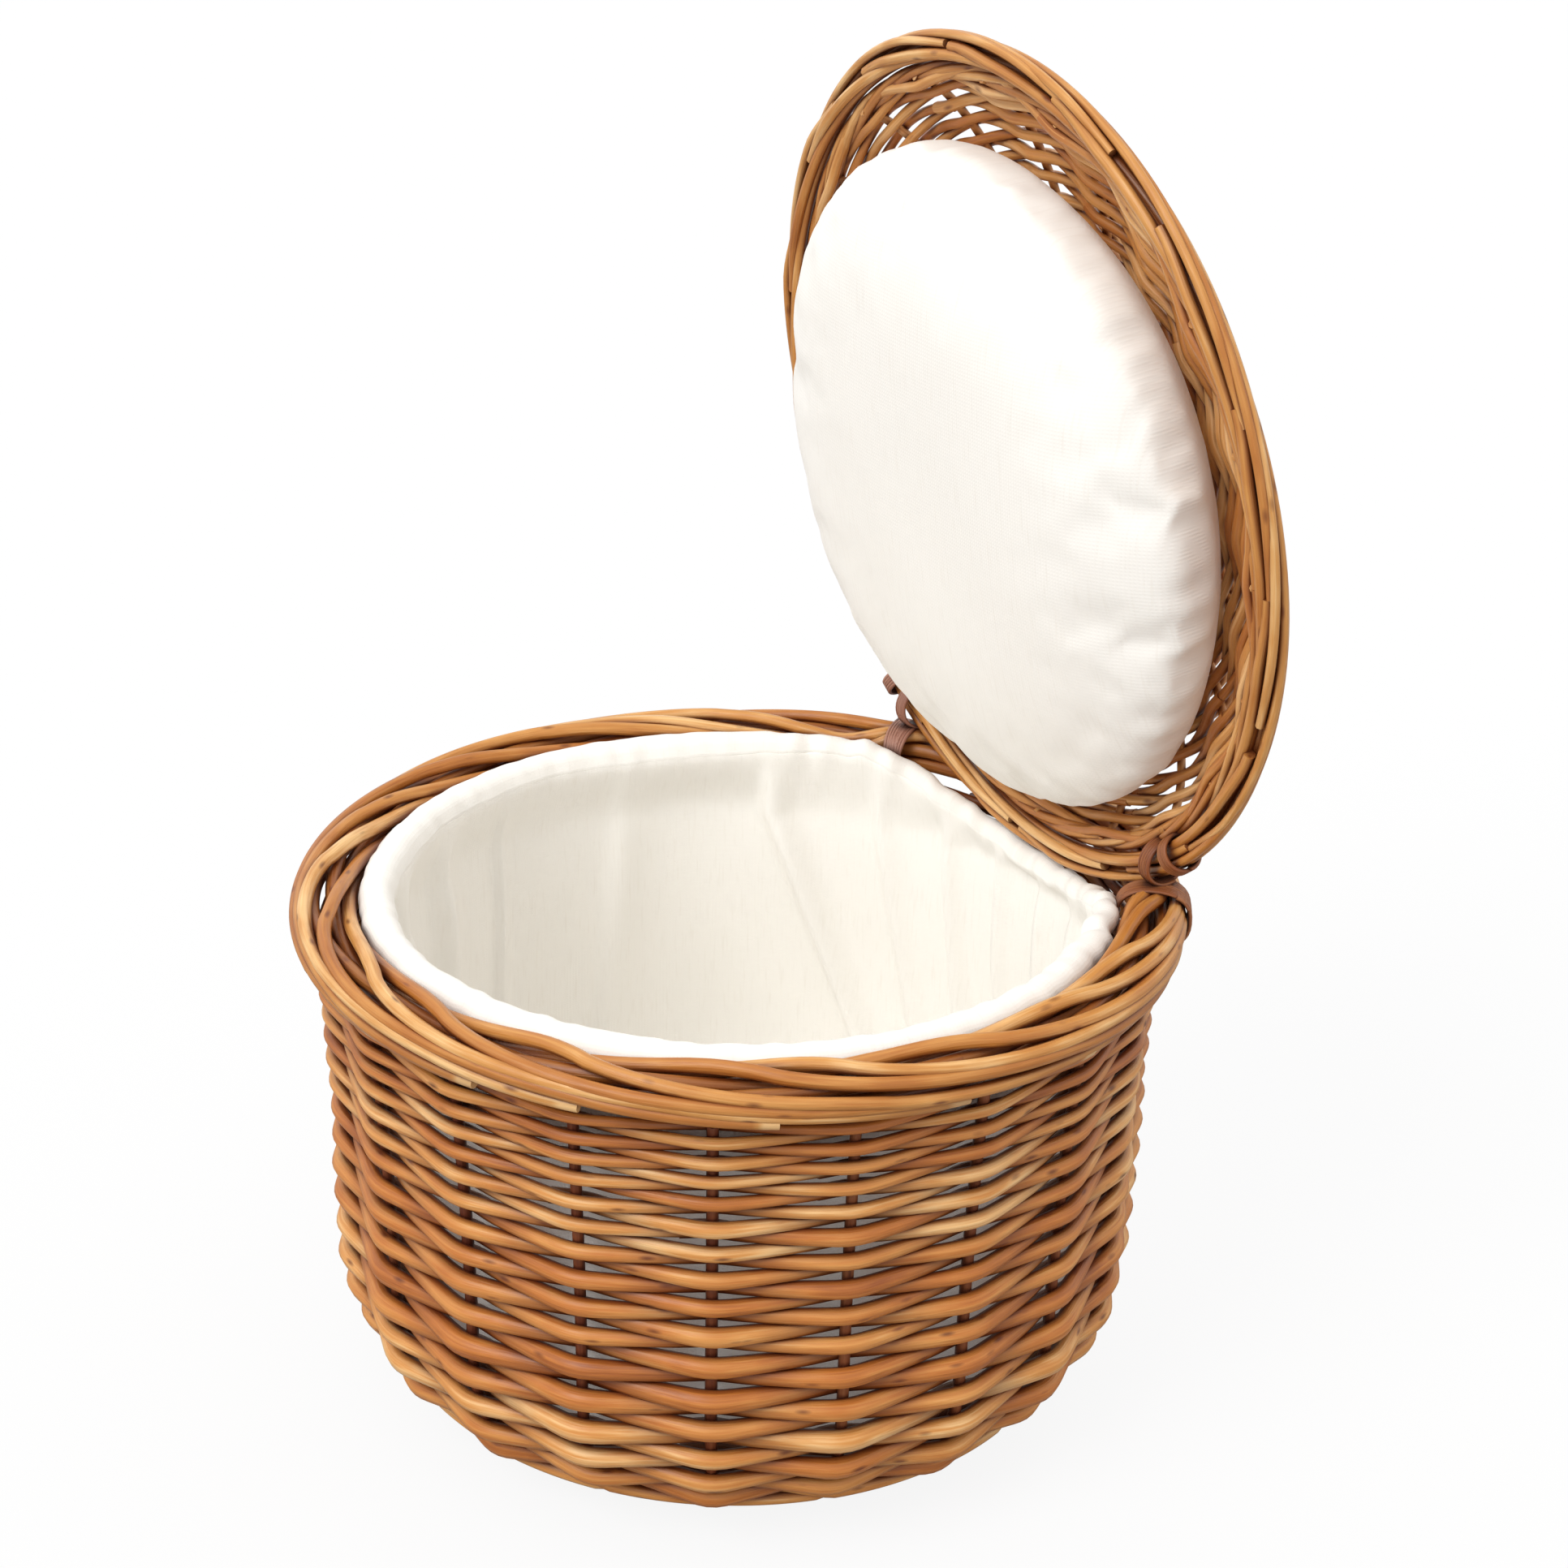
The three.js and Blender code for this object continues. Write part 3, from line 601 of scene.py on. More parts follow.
def borderRods():
    b = border
    rng = random.Random(b["seed"])
    rods = []
    share = np.linspace(0, 1, b["steps"] + 1)
    count = len(share)
    for i in range(side["stakes"]):
        span = b["span"] * rng.uniform(*b["uneven"])
        angle = side["firstStake"] + i * stakeStep + share * span
        turnAt = np.interp(np.degrees(share * span), b["knots"], b["turns"])
        turnAt = np.convolve(np.pad(turnAt, b["easing"] // 2, mode="edge"),
            np.ones(b["easing"]) / b["easing"], mode="valid")
        turnAt = np.radians(turnAt + wander(rng, count, 5, b["twist"]))
        radii = (b["fat"] + (b["thin"] - b["fat"]) * share) * rng.uniform(*b["unevenRod"])
        radii = radii * (1 + wander(rng, count, 4, b["lumps"]))
        fromHinge = np.abs((angle - math.pi / 2 + math.pi) % fullTurn - math.pi)
        inZone = 1 - smooth(*b["hingeZone"], fromHinge)
        turnAt = turnAt + inZone * (np.clip(turnAt, *b["hingeTurns"]) - turnAt)
        sink = np.abs(wander(rng, count, 4, b["sink"]))
        radius, height = borderSection(turnAt, radii + 0.1 + sink)
        onTop = np.exp(-((np.degrees(turnAt) - b["crestAt"]) / b["crestWidth"]) ** 2)
        points = clearOfLid(around(angle, radius, height + b["crest"] * onTop), radii)
        tone = np.full(count, rng.uniform(*b["tones"]))
        tone[-2:] = b["cutTone"]    # pale cut end
        # the depth paints shade on the underside of the roll, none on top
        rods.append(rodOf(points, radii, tone, smooth(0.0, 1.0, 0.25 - np.sin(turnAt) * 0.5)))
    turns = np.linspace(0, fullTurn, 181)
    for i in range(b["coreRods"]):
        turnAt = fullTurn * i / b["coreRods"] + b["coreTurns"] * turns
        points = around(turns, b["middle"] + b["coreWide"] * np.cos(turnAt),
            b["height"] + b["coreDeep"] * np.sin(turnAt))
        # the rods inside the roll get painted shade
        rods.append(rodOf(clearOfLid(points, b["coreRadius"]), b["coreRadius"], 0.35, 0.75))
    return rods


print("border")
borderPiece = layRods("borderRods", borderRods(), borderWillow)
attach(borderPiece, "basket")
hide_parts(*[f"border_rod_{i + 1}" for i in range(5)], "hinge_rod_1", "hinge_rod_2")

# lid: everything is shaped shut, with the middle of the rim at the origin, then opened
dome = {"radius": 135.05, "rise": 37.96, "fullness": 2.8, "shoulder": 0.6}


def domeLine():    # the outer face, from the crown to the rim
    d = dome
    turn = np.linspace(0, math.pi / 2, 1200)
    height = d["rise"] * (1 - np.sin(turn) ** d["fullness"]) ** d["shoulder"]
    return np.stack([d["radius"] * np.sin(turn), height], axis=1)


domeLength, domePoints, domeIn = withNormals(domeLine())


def domePoint(angle, along, under):
    return around(angle, *offLine(domeLength, domePoints, domeIn, along, under))


lidWeave = {
    "under": 4.9, "underAtRim": 3.3, "edge": 0.6, "spokes": 20, "inner": 11.0,
    "pitch": 4.1, "fork": 62.0, "forkBefore": 16, "forkAfter": 14, "forkPoints": 20,
    "forkAngle": math.radians(11), "rod": 1.85, "spoke": 1.45, "uneven": (0.9, 1.1),
    "taper": (1.05, 0.93), "overlap": 0.4, "press": 0.9, "sway": 0.45,
    "tones": (0.3, 0.85), "hidden": 0.25, "steps": 14, "seed": 53,
}


def lidPlace(angle, along, height):    # height is towards the outside of the dome
    w = lidWeave
    nearRim = smooth(0, 1, along / domeLength[-1] * 3 - 2)
    under = w["under"] + (w["underAtRim"] - w["under"]) * nearRim
    return domePoint(angle, along, under - height)


def lidWeaveRods():
    w = lidWeave
    rng = random.Random(w["seed"])
    edge = domeLength[-1] - w["edge"]
    rods = spreadSticks(lidPlace, edge, rng, w["spoke"])
    forkFrom = w["fork"] - w["forkBefore"]
    along = np.linspace(forkFrom, edge, w["forkPoints"])
    beside = w["forkAngle"] * (1 - smooth(forkFrom, w["fork"] + w["forkAfter"], along))
    for i in range(crossing["spokes"]):    # a second spoke beside each, from the fork on
        angle = math.radians(36 * i + 18) - beside
        rods.append(rodOf(lidPlace(angle, along, 0.0), w["spoke"], rng.uniform(*crossing["tones"]),
            crossing["hidden"]))
    rows = int((edge - w["inner"]) / w["pitch"])
    for row in range(rows):
        middle = w["inner"] + (row + 0.5) * (edge - w["inner"]) / rows
        spokes, parts = (crossing["spokes"], 1) if middle < w["fork"] else (w["spokes"], 2)
        shift = rng.randrange(spokes // 2) * 2
        for part in range(parts):
            span = spokes / parts
            count = int((span + w["overlap"]) * w["steps"]) + 1
            turns = shift + part * span + np.arange(count) / w["steps"] - w["overlap"] / 2
            wave = inAndOut(turns - row % 2 + 1)
            radii = w["rod"] * rng.uniform(*w["uneven"]) * np.linspace(*w["taper"], count)
            length = np.minimum(middle + wander(rng, count, 14, w["sway"]), edge)
            points = lidPlace(turns * fullTurn / spokes, length,
                wave * (w["spoke"] + radii * w["press"]))
            rods.append(rodOf(points, radii, rng.uniform(*w["tones"]), w["hidden"]))
    for rod in rods:
        rod["points"] = opened(rod["points"])
    return rods


print("lid weave")
lidWeavePiece = layRods("lidWeave", lidWeaveRods(), lidWillow)
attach(lidWeavePiece, "lid")
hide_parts("lid_weave", "lid_sticks")

# lid border: thin rods rolled round one another, and a twined band that closes the weave to them
lidBorder = {
    "rods": 15, "span": math.radians(165), "uneven": (0.94, 1.04), "turnFrom": 250, "turnBy": 300,
    "twist": 12, "radius": 1.85, "taper": (1.08, 0.82), "unevenRod": (0.94, 1.05),
    "sink": 0.35, "tuck": 0.07, "tucked": 0.3, "tones": (0.35, 0.9), "hidden": 0.15, "steps": 80,
    "band": 4, "bandRadius": 132.3, "bandHeight": 2.8, "bandTwist": 9, "bandWave": 1.7,
    "bandRod": 1.75, "bandTones": (0.3, 0.8), "seed": 61,
}


def lidBorderRods():
    b = lidBorder
    rng = random.Random(b["seed"])
    share = np.linspace(0, 1, b["steps"] + 1)
    count = len(share)
    rods = []
    for i in range(b["rods"]):
        angle = i * fullTurn / b["rods"] + share * b["span"] * rng.uniform(*b["uneven"])
        twist = wander(rng, count, 4, b["twist"])
        turnAt = np.radians(b["turnFrom"] - b["turnBy"] * share + twist)
        radii = b["radius"] * np.linspace(*b["taper"], count) * rng.uniform(*b["unevenRod"])
        offset = hinge["tube"] - radii - 0.05 - np.abs(wander(rng, count, 3, b["sink"]))
        fromEnd = smooth(0, b["tuck"], np.minimum(share, 1 - share))
        offset *= b["tucked"] + (1 - b["tucked"]) * fromEnd    # ends are pushed into the roll
        points = around(angle, hinge["rim"] + offset * np.cos(turnAt), offset * np.sin(turnAt))
        rods.append(rodOf(opened(points), radii, rng.uniform(*b["tones"]), b["hidden"]))
    turns = np.linspace(0, fullTurn, 241)
    for i in range(b["band"]):
        phase = fullTurn * i / b["band"] + b["bandTwist"] * turns
        points = around(turns, b["bandRadius"] + b["bandWave"] * np.cos(phase),
            b["bandHeight"] + b["bandWave"] * np.sin(phase))
        rods.append(rodOf(opened(points), b["bandRod"], rng.uniform(*b["bandTones"]), 0.3))
    return rods


print("lid border")
lidBorderPiece = layRods("lidBorder", lidBorderRods(), borderWillow)
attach(lidBorderPiece, "lid")
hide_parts("lid_rod_1", "lid_rod_2", "lid_rod_3")


# cloth

def meshFromGrid(name, grid, finish, uv):
    # grid is rows x columns x 3 in mm; each row is a ring that closes on its first point
    rows, columns = grid.shape[:2]
    cells = [(r, c) for r in range(rows - 1) for c in range(columns)]
    faces = [(r * columns + c, r * columns + (c + 1) % columns,
        (r + 1) * columns + (c + 1) % columns, (r + 1) * columns + c) for r, c in cells]
    flat = [uv(*corner) for r, c in cells
        for corner in ((r, c), (r, c + 1), (r + 1, c + 1), (r + 1, c))]
    mesh = bpy.data.meshes.new(name)
    mesh.from_pydata((grid.reshape(-1, 3) * mm).tolist(), [], faces)
    layer = mesh.uv_layers.new(name="cloth")
    layer.data.foreach_set("uv", np.array(flat, np.float32).ravel())
    piece = bpy.data.objects.new(name, mesh)
    scene.collection.objects.link(piece)
    mesh.materials.append(finish)
    return piece


def closeMiddle(piece):    # merges the tiny ring in the middle into one point
    selectOnly(piece)
    mend(bpy.ops.mesh.remove_doubles, threshold=0.00002)
    bpy.ops.object.shade_smooth()


# lining: a gathered bag of one strip and a round floor, with a rolled hem inside the border
lining = {
    "columns": 440, "rim": 126.6, "edge": 185.6, "thick": 0.9, "floor": 13.6, "seed": 71,
    "wallFrom": 16, "wallTop": 154, "wallRows": 64,
    "gap": 3.9, "gapOver": (14, 32),    # inside the stakes at the floor, twice that above
    "neckRows": 12, "pleat": 0.6, "clearOfRim": 2.4, "dipRadius": 124, "dipBeside": 6,
    # how far it stands in: slack on the whole wall, taut at the top, and leaning to the hem
    "slack": 0.8, "fade": (16, 60), "taut": 0.4, "tautOver": (140, 176),
    "leanIn": 4.5, "leanOver": (70, 154),
    # the roll is slack in front and drawn tight round hemAt, in degrees
    "hem": 5.3, "hemFull": 1.06, "hemDrawn": 0.36, "hemAt": 98, "hemZone": (38, 66),
    # ruffled below the hinge, round ruffleAt
    "plain": 0.32, "ruffled": 0.8, "ruffleAt": 86, "ruffleZone": (44, 66),
    "ruffleWaves": (23, 37, 52, 61, 83), "ruffle": (0.25, 0.6), "lift": (0.2, 0.4), "easing": 13,
    "girth": 0.76, "rowHeight": 0.0032,    # metres of cloth
    "seam": 196, "seamDepth": 1.7,    # degrees, where the strip's ends are sewn, and mm
    # folds: degrees at the edge, degrees at the floor, width in degrees, depth in mm
    "folds": ((236, 222, 5.0, 8.0), (214, 209, 4.0, 5.0), (171, 177, 5.0, 2.2),
        (150, 120, 3.6, 5.4), (128, 112, 2.8, 3.0), (113, 104, 2.2, 3.4), (100, 97, 2.0, 3.0),
        (87, 89, 2.0, 3.4), (75, 80, 2.1, 3.0), (62, 70, 2.4, 4.0), (47, 58, 3.0, 4.2),
        (26, 38, 4.5, 3.4), (-8, 2, 6.0, 3.0), (-42, -36, 6.0, 2.4), (-76, -82, 6.0, 3.0),
        (-104, -98, 5.0, 3.2)),
    "foldDepth": 1.5,
    "facing": (0.1, 0.6), "lit": (0.160, 0.140),    # the outside below the border, metres
}


def liningEdge(angle):    # height of the hem's top, lower where the lid's rim dips
    l = lining
    x = l["dipRadius"] * np.cos(angle)
    low = hinge["height"] - np.maximum(behindHinge(x), 0) - hinge["tube"] - l["clearOfRim"]
    inside = (np.sin(angle) > 0) & (np.abs(x) < hinge["halfSpan"] + l["dipBeside"])
    return np.where(inside, np.minimum(l["edge"], low), l["edge"])


def liningProfile():    # radius and height from the floor up the inside of the side
    l = lining
    top = float(np.interp(l["wallTop"], sidePoints[:, 1], sideLength))
    along = np.linspace(l["wallFrom"], top, l["wallRows"])
    radius, height = sidePoint(along, -l["gap"] - l["gap"] * smooth(*l["gapOver"], along))
    return radius, np.maximum(height, l["floor"])


def apart(angle, degrees):    # signed difference in degrees
    return (np.degrees(angle) - degrees + 180) % 360 - 180


def liningFolds(angle, height):    # how far the cloth stands in from the side, mm
    l = lining
    down = np.clip((180 - height) / 160, 0, 1)
    inward = l["slack"] + l["slack"] * np.sin(7 * angle + 1.0) * np.sin(3 * angle + 2.2)
    for edge, floor, width, depth in l["folds"]:
        off = apart(angle, edge + (floor - edge) * down)
        off = np.where(off < 0, off / width, off / (0.4 * width))
        inward = inward + l["foldDepth"] * depth * np.exp(-off ** 2)
    seam = apart(angle, l["seam"])    # a ridge beside a groove
    inward = inward + l["seamDepth"] * np.exp(-(seam / 1.1) ** 2)
    inward = inward - l["seamDepth"] * np.exp(-((seam - 1.6) / 0.8) ** 2)
    fade = smooth(*l["fade"], height) * (1 - l["taut"] * smooth(*l["tautOver"], height))
    return inward * fade + l["leanIn"] * smooth(*l["leanOver"], height)


def makeLining():
    l = lining
    rng = random.Random(l["seed"])
    angle = np.linspace(0, fullTurn, l["columns"], endpoint=False)
    belowHinge = 1 - smooth(*l["ruffleZone"], np.abs(apart(angle, l["ruffleAt"])))
    gathered = l["plain"] + l["ruffled"] * belowHinge
    ruffle, lift = np.zeros(l["columns"]), np.zeros(l["columns"])
    for waves in l["ruffleWaves"]:
        ruffle += rng.uniform(*l["ruffle"]) * np.sin(waves * angle + anyPhase(rng))
        lift += rng.uniform(*l["lift"]) * np.sin(waves * angle + anyPhase(rng))
    ruffle, lift = ruffle * gathered, lift * gathered
    drawn = 1 - smooth(*l["hemZone"], np.abs(apart(angle, l["hemAt"])))
    uneven = 0.05 * np.sin(5 * angle + 0.5) + 0.03 * np.sin(13 * angle)
    hem = l["hem"] * (l["hemFull"] - l["hemDrawn"] * drawn + uneven)
    neck = l["rim"] - hem
    edge, half = liningEdge(angle), l["easing"] // 2
    edge = np.convolve(np.concatenate([edge[-half:], edge, edge[:half]]),
        np.ones(l["easing"]) / l["easing"], mode="valid") + lift
    wallRadius, wallHeight = liningProfile()
    floorRadius = np.linspace(0.005, wallRadius[0], 24)[:-1]
    grid = [around(angle, r, l["floor"]) for r in floorRadius]
    for r, z in zip(wallRadius, wallHeight):
        grid.append(around(angle, r - liningFolds(angle, z), z))
    topHeight = wallHeight[-1]
    topRadius = wallRadius[-1] - liningFolds(angle, topHeight)
    neckRadius = neck + ruffle - hem
    for k in range(1, l["neckRows"] + 1):
        share = k / l["neckRows"]
        pleat = l["pleat"] * ruffle * math.sin(math.pi * share)
        radius = topRadius + (neckRadius - topRadius) * smooth(0, 1, share) - pleat
        grid.append(around(angle, radius, topHeight + (edge - hem - topHeight) * share))
    for turn in np.radians(np.arange(150, -181, -30)):    # over the top and down the outside
        radius = neck + ruffle + hem * np.cos(turn)
        grid.append(around(angle, radius, edge - hem + hem * np.sin(turn)))
    return meshFromGrid("clothLining", np.array(grid), liningCalico,
        lambda r, c: (c / l["columns"] * l["girth"], r * l["rowHeight"]))


def markOutside(piece):    # 1 on the outside of the wall, 0 inside and under the border
    spots, facing = readSpots(piece), readSpots(piece, "normal")
    outward = np.sum(spots[:, :2] * facing[:, :2], axis=1)
    outward = outward / np.maximum(np.hypot(spots[:, 0], spots[:, 1]), 1e-9)
    outside = smooth(*lining["facing"], outward) * smooth(*lining["lit"], spots[:, 2])
    layer = piece.data.attributes.new("outside", "FLOAT", "POINT")
    layer.data.foreach_set("value", outside.astype(np.float32))


print("lining")
liningPiece = makeLining()
closeMiddle(liningPiece)
modify(liningPiece, "SOLIDIFY", thickness=lining["thick"] * mm, offset=0)
markOutside(liningPiece)
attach(liningPiece, "basket")
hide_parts("lining")

# pad: a round cushion tied into the lid, made shut, then opened with it
pad = {
    "radius": 113.6, "drop": 11.0, "crown": 17.0, "fullness": 5.0, "face": (0.0001, 0.985, 42),
    "edge": ((0, -6.5), (-0.2, 0.0), (-1.6, 6.0)),
    "backRadius": 105.0, "back": 10.6, "columns": 200,
    # the swelling: more and more held between these heights, and no more than the cap, mm
    "voxel": 5.0, "held": (-9.0, -1.0), "pressure": 4.0, "frames": 20, "slack": -0.035,
    "bending": 0.3, "cap": 8.0,
    # the gathered seam
    "pucker": 1.1, "puckerWaves": (19, 31, 43, 57), "seam": (84, 108), "seamHeight": (8, -2),
    "shift": 2.5, "seed": 83,
    # tied in tighter on its right, and stuffed fuller on its left
    "drawnIn": 6.5, "drawnOver": (60, 108), "drawnAngle": math.radians(28),
    "drawnSide": (0.05, 0.95), "lean": 1.2, "fuller": 3.0, "fullOver": (60, 100),
    "fullSide": (-0.1, 0.9), "fullDepth": -12,
}


def padRings():    # radius and height from the middle of the face over the edge to the back
    p = pad
    share = np.linspace(*p["face"])
    inset, rise = zip(*p["edge"])
    radius = np.concatenate([share * p["radius"], p["radius"] + np.array(inset)])
    height = np.concatenate([-p["drop"] - p["crown"] * (1 - share ** p["fullness"]), rise])
    start = float(np.interp(p["backRadius"], domePoints[:, 0], domeLength))
    back = domePoint(0.0, np.linspace(start, 0.02, 30), p["back"])
    return np.concatenate([radius, back[:, 0]]), np.concatenate([height, back[:, 2]])


def fillPad(piece):    # cloth under pressure, held by its back, swells and wrinkles
    p = pad
    selectOnly(piece)
    modify(piece, "REMESH", mode="VOXEL", voxel_size=p["voxel"] * mm)
    start = readSpots(piece)
    held = piece.vertex_groups.new(name="held")
    for index, weight in enumerate(smooth(*p["held"], start[:, 2] / mm)):
        if weight > 0:
            held.add([index], float(weight), "REPLACE")
    bpy.ops.object.modifier_add(type="CLOTH")
    cloth = piece.modifiers["Cloth"].settings
    cloth.vertex_group_mass = "held"
    cloth.use_pressure = True
    cloth.uniform_pressure_force = p["pressure"]
    cloth.shrink_min = p["slack"]
    cloth.bending_stiffness = p["bending"]
    cloth.effector_weights.gravity = 0
    for step in range(1, p["frames"] + 1):
        scene.frame_set(step)
    bpy.ops.object.modifier_apply(modifier="Cloth")
    moved = readSpots(piece) - start
    far = np.linalg.norm(moved, axis=1)
    moved *= np.minimum(1, p["cap"] * mm / np.maximum(far, 1e-9))[:, None]
    piece.data.vertices.foreach_set("co", (start + moved).ravel())
    scene.frame_set(1)
    print("  pad moved up to", round(float(far.max()) / mm, 1), "mm")
    modify(piece, "SUBSURF", levels=1, render_levels=1)


def puckerPad(piece):    # the puckers of the seam, and the pad's uneven form
    p = pad
    rng = random.Random(p["seed"])
    spots = readSpots(piece) / mm
    angle = np.arctan2(spots[:, 1], spots[:, 0])
    reach = np.hypot(spots[:, 0], spots[:, 1])
    gather = np.zeros(len(spots))
    for waves in p["puckerWaves"]:
        gather += rng.uniform(0.5, 1.0) * np.sin(waves * angle + anyPhase(rng))
    uneven = 0.35 + 0.65 * smooth(-0.4, 0.5, np.cos(angle - 0.3)) + 0.25 * np.sin(3 * angle + 1)
    atSeam = smooth(*p["seam"], reach) * smooth(*p["seamHeight"], spots[:, 2])
    push = p["pucker"] * 0.5 * gather * uneven * atSeam
    drawn = smooth(*p["drawnOver"], reach)
    drawn = drawn * smooth(*p["drawnSide"], np.cos(angle + p["drawnAngle"]))
    spots[:, :2] *= (1 - p["drawnIn"] / p["radius"] * drawn)[:, None]
    spots[:, 0] += np.cos(angle) * push
    spots[:, 1] += np.sin(angle) * push + p["shift"]
    spots[:, 2] += 0.8 * push
    fuller = smooth(*p["fullOver"], reach) * smooth(*p["fullSide"], -np.cos(angle))
    fuller = fuller * smooth(0, p["fullDepth"], spots[:, 2])
    spots[:, 0] -= p["lean"] * fuller
    spots[:, 2] -= p["fuller"] * fuller
    return spots


def openPad(piece, spots):    # the cloth's weave lies along and across the shut pad
    corners = np.empty(len(piece.data.loops), np.int32)
    piece.data.loops.foreach_get("vertex_index", corners)
    layer = piece.data.uv_layers.get("cloth") or piece.data.uv_layers.new(name="cloth")
    layer.data.foreach_set("uv", (spots[corners, :2] * mm).astype(np.float32).ravel())
    piece.data.vertices.foreach_set("co", (opened(spots) * mm).ravel())
    piece.data.update()
    bpy.ops.object.shade_smooth()


print("lid pad")
padAngle = np.linspace(0, fullTurn, pad["columns"], endpoint=False)
padGrid = np.array([around(padAngle, r, z) for r, z in zip(*padRings())])
padPiece = meshFromGrid("lidPad", padGrid, calico, lambda r, c: (0.0, 0.0))
closeMiddle(padPiece)
fillPad(padPiece)
openPad(padPiece, puckerPad(padPiece))
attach(padPiece, "lid")
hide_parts("lid_pad")

# ties: flat split willow, each strip as a few thin strands side by side, mm
ties = {
    "spread": 2.9, "wrapSpread": 9.9, "strand": 0.75, "pitch": 1.02, "lift": 0.8, "eye": 7.7,
    # turns that cross on the border: where each begins, how far it drifts in a turn, turns
    "crossings": ((-3.2, 6.5, 1.1), (3.6, -6.2, 1.1), (-0.4, 1.2, 1.05)),
    "wide": 5, "narrow": 4, "eyeTurns": 2.1, "wrapTurns": 2.2, "coil": (-1.2, 1.2),
    "tones": (0.35, 0.65), "hidden": 0.1, "steps": 40, "seed": 97,
}


def strip(path, across, count, tone):
    t = ties
    offsets = (np.arange(count) - (count - 1) / 2) * t["pitch"]
    return [rodOf(path + offset * np.asarray(across), t["strand"], tone + 0.08 * (k % 2),
        t["hidden"]) for k, offset in enumerate(offsets)]


def tiePlace(sign, spread):    # the angle on the rim, and the way along the rim there
    heading = math.pi / 2 - sign * math.asin((hinge["halfSpan"] + spread) / hinge["rim"])
    return heading, np.array([-math.sin(heading), math.cos(heading), 0.0])


def tieRods(sign):
    t = ties
    rng = random.Random(t["seed"] + sign)
    heading, across = tiePlace(sign, t["spread"])
    rods = []
    for first, drift, turns in t["crossings"]:
        turn = np.linspace(0.4, 0.4 + fullTurn * turns, t["steps"])
        drifted = first + drift * (turn - turn[0]) / fullTurn
        path = around(heading, *borderSection(turn, -t["lift"])) + np.outer(drifted, across)
        rods += strip(path, across, t["wide"], rng.uniform(*t["tones"]))
    # and round the lid's rim
    turn = np.linspace(-1.7, -1.7 + fullTurn * t["eyeTurns"], 2 * t["steps"])
    path = np.stack([sign * hinge["halfSpan"] + np.linspace(*t["coil"], len(turn)),
        hinge["offset"] + t["eye"] * np.cos(turn),
        hinge["height"] + t["eye"] * np.sin(turn)], axis=1)
    return rods + strip(path, (1.0, 0.0, 0.0), t["narrow"], rng.uniform(*t["tones"]))


def wrapRods(sign):
    t = ties
    heading, across = tiePlace(sign, t["wrapSpread"])
    turn = np.linspace(0, fullTurn * t["wrapTurns"], 2 * t["steps"])
    reach = hinge["tube"] + t["strand"] + 0.2
    path = around(heading, hinge["rim"] + reach * np.cos(turn), reach * np.sin(turn))
    path = path + np.outer(np.linspace(*t["coil"], len(turn)), across)
    rods = strip(path, across, t["narrow"], 0.5)
    for rod in rods:
        rod["points"] = opened(rod["points"])
    return rods


print("ties")
for sign, name, finish in ((-1, "left", skeinWillow), (1, "right", brownSkein)):
    tiePiece = layRods("skeinTie_" + name, tieRods(sign), finish)
    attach(tiePiece, "basket")
    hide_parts("tie_" + name)
    wrapPiece = layRods("skeinWrap_" + name, wrapRods(sign), finish)
    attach(wrapPiece, "lid")
    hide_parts("lid_wrap_" + name)

# the sticks of the base keep their CAD shape
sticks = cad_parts["base_sticks"]
sticks.data.materials.clear()
sticks.data.materials.append(baseWillow)

print("stage")
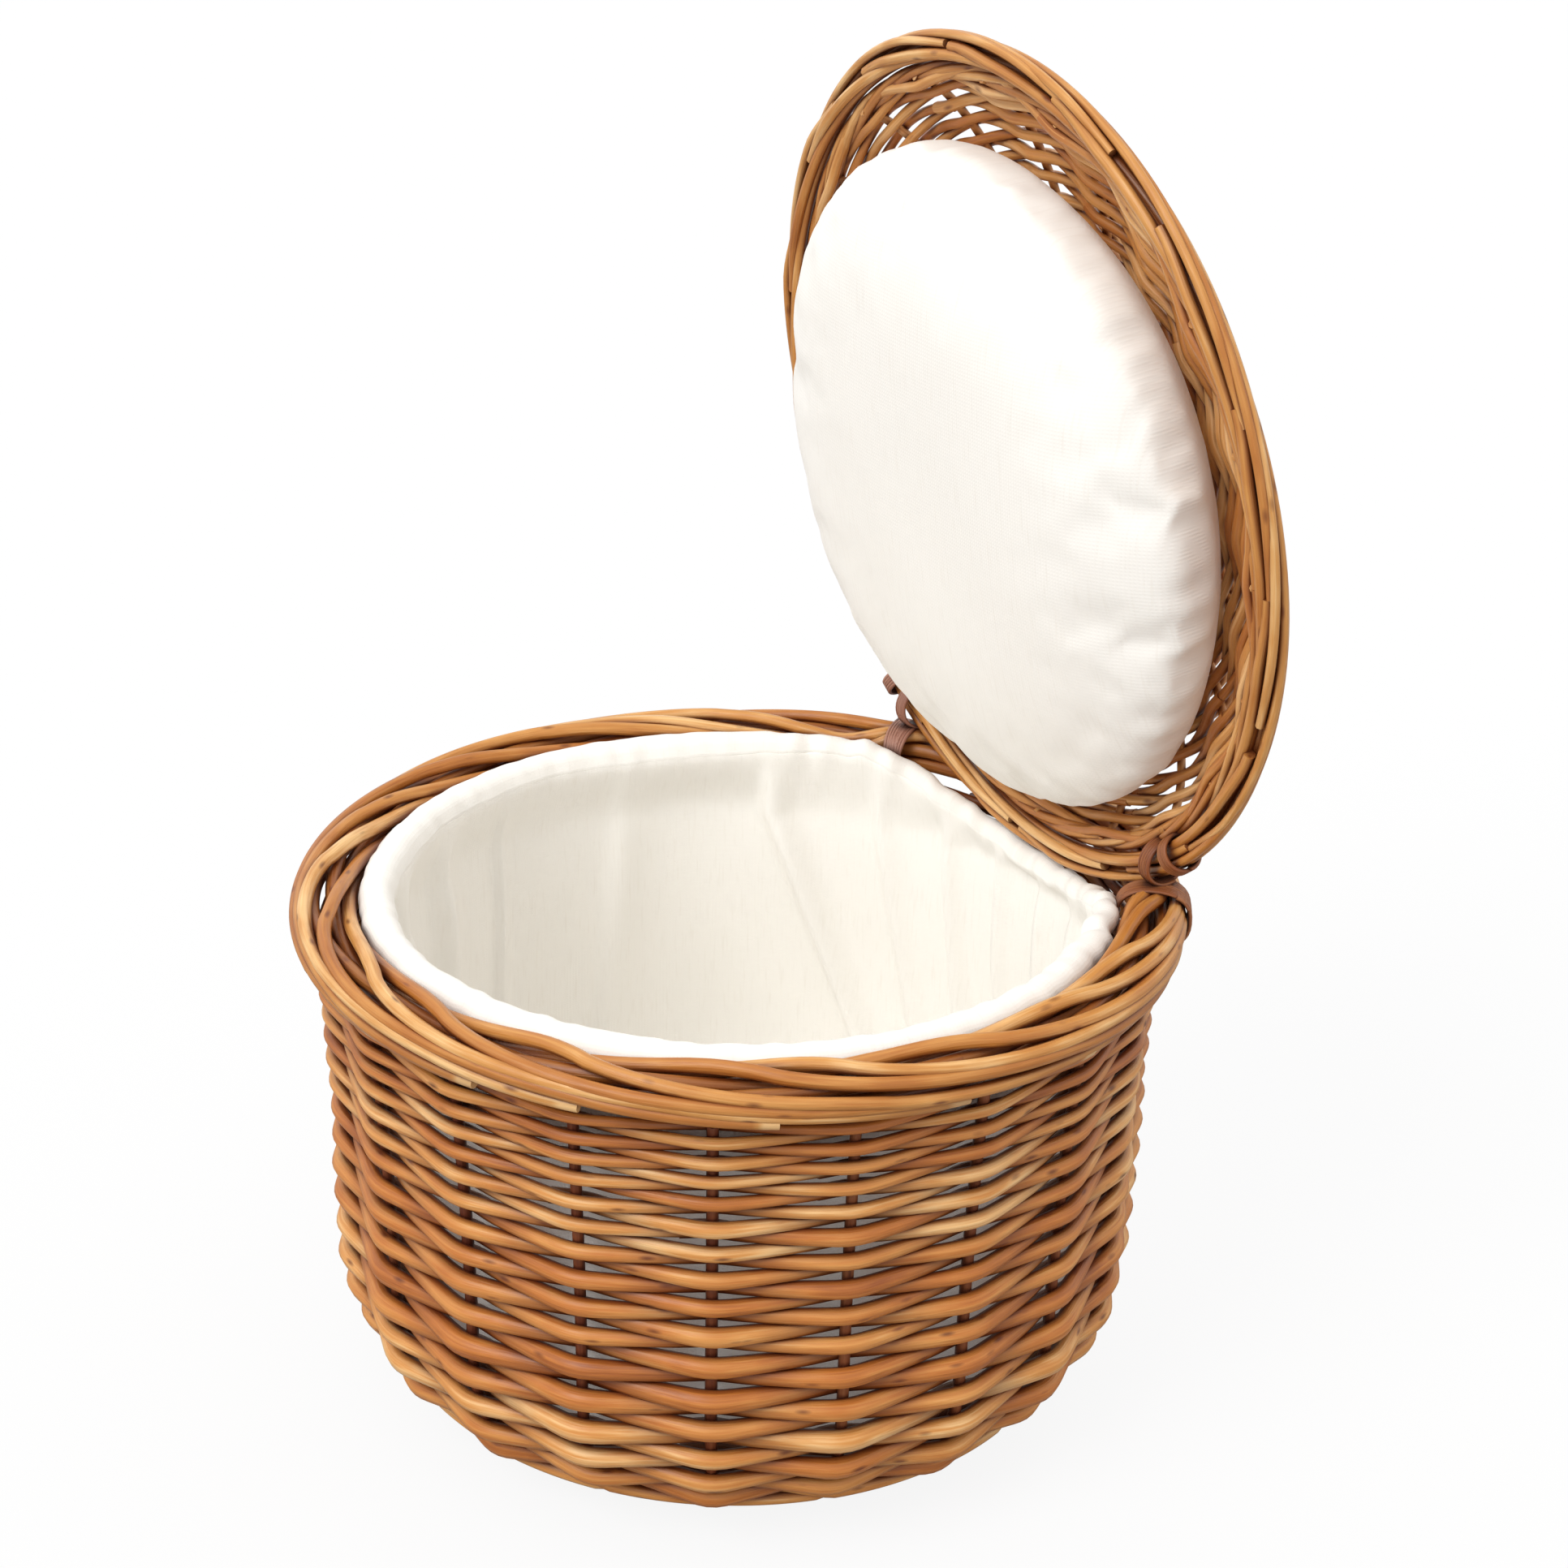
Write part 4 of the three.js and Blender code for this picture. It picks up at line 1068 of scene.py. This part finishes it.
# matt grey paper for the light and the shadow, shown to the camera as white
stage = {"floor": "#A8A8A8", "size": 14.0, "glow": 0.78, "glowStrength": 1.14}
white = (1, 1, 1, 1)
bpy.ops.object.select_all(action="DESELECT")
bpy.ops.mesh.primitive_plane_add(size=stage["size"], location=(0, 0, -0.0002))
floor = bpy.context.active_object
floor.name = "floor"
floorFinish, add = newMaterial("whitePaperSweep")
paper = add("BsdfPrincipled", {"Base Color": linear(stage["floor"]),
    "Roughness": 0.9, "Specular IOR Level": 0.1})
glow = add("Emission", {"Color": white, "Strength": stage["glowStrength"]})
floorRays = add("LightPath")
shown = add("Math", {"operation": "MULTIPLY", 1: stage["glow"]},
    {0: floorRays.outputs["Is Camera Ray"]})
both = add("MixShader", {}, {0: shown, 1: paper, 2: glow})
add("OutputMaterial", {}, {"Surface": both})
floor.data.materials.append(floorFinish)

# light: a pale studio, brighter overhead and white to the camera, with one wide soft lamp
lights = {"horizon": 0.85, "zenith": 1.04, "sun": 1.4, "sunAngle": math.radians(30),
    "sunFrom": (0.25, -0.9, 0.95)}
world = bpy.data.worlds.new("studio")
scene.world = world
world.use_nodes = True
world.node_tree.nodes.clear()
add = partial(addNode, world.node_tree)
worldRays = add("LightPath")
seen = add("Math", {"operation": "ADD", "use_clamp": True},
    {0: worldRays.outputs["Is Camera Ray"], 1: worldRays.outputs["Is Glossy Ray"]})
direction = add("TexCoord")
upward = add("SeparateXYZ", {}, {"Vector": direction.outputs["Object"]})
sky = add("MapRange", {"To Min": lights["horizon"], "To Max": lights["zenith"]},
    {"Value": upward.outputs["Z"]})
strength = add("Mix", {"data_type": "FLOAT", 3: 1.0}, {0: seen, 2: sky})
background = add("Background", {"Color": white}, {"Strength": strength})
add("OutputWorld", {}, {"Surface": background})
bpy.ops.object.light_add(type="SUN", location=lights["sunFrom"])
sun = bpy.context.active_object
sun.data.energy = lights["sun"]
sun.data.angle = lights["sunAngle"]
sun.rotation_euler = Vector(lights["sunFrom"]).to_track_quat("Z", "Y").to_euler()

# camera: as the photograph was taken, the right side a little low
view = {"place": (0.8157, -0.4581, 0.6305), "target": (0.0072, 0.0124, 0.2189), "lens": 70.8,
    "roll": math.radians(1.13)}
cameraData = bpy.data.cameras.new("camera")
cameraData.lens = view["lens"]
cameraData.sensor_width = 36
camera = bpy.data.objects.new("camera", cameraData)
scene.collection.objects.link(camera)
aim = (Vector(view["target"]) - Vector(view["place"])).to_track_quat("-Z", "Y")
camera.location = view["place"]
camera.rotation_mode = "QUATERNION"
camera.rotation_quaternion = aim @ Matrix.Rotation(view["roll"], 4, "Z").to_quaternion()
scene.camera = camera
scene.view_settings.view_transform = "Standard"

print("done")
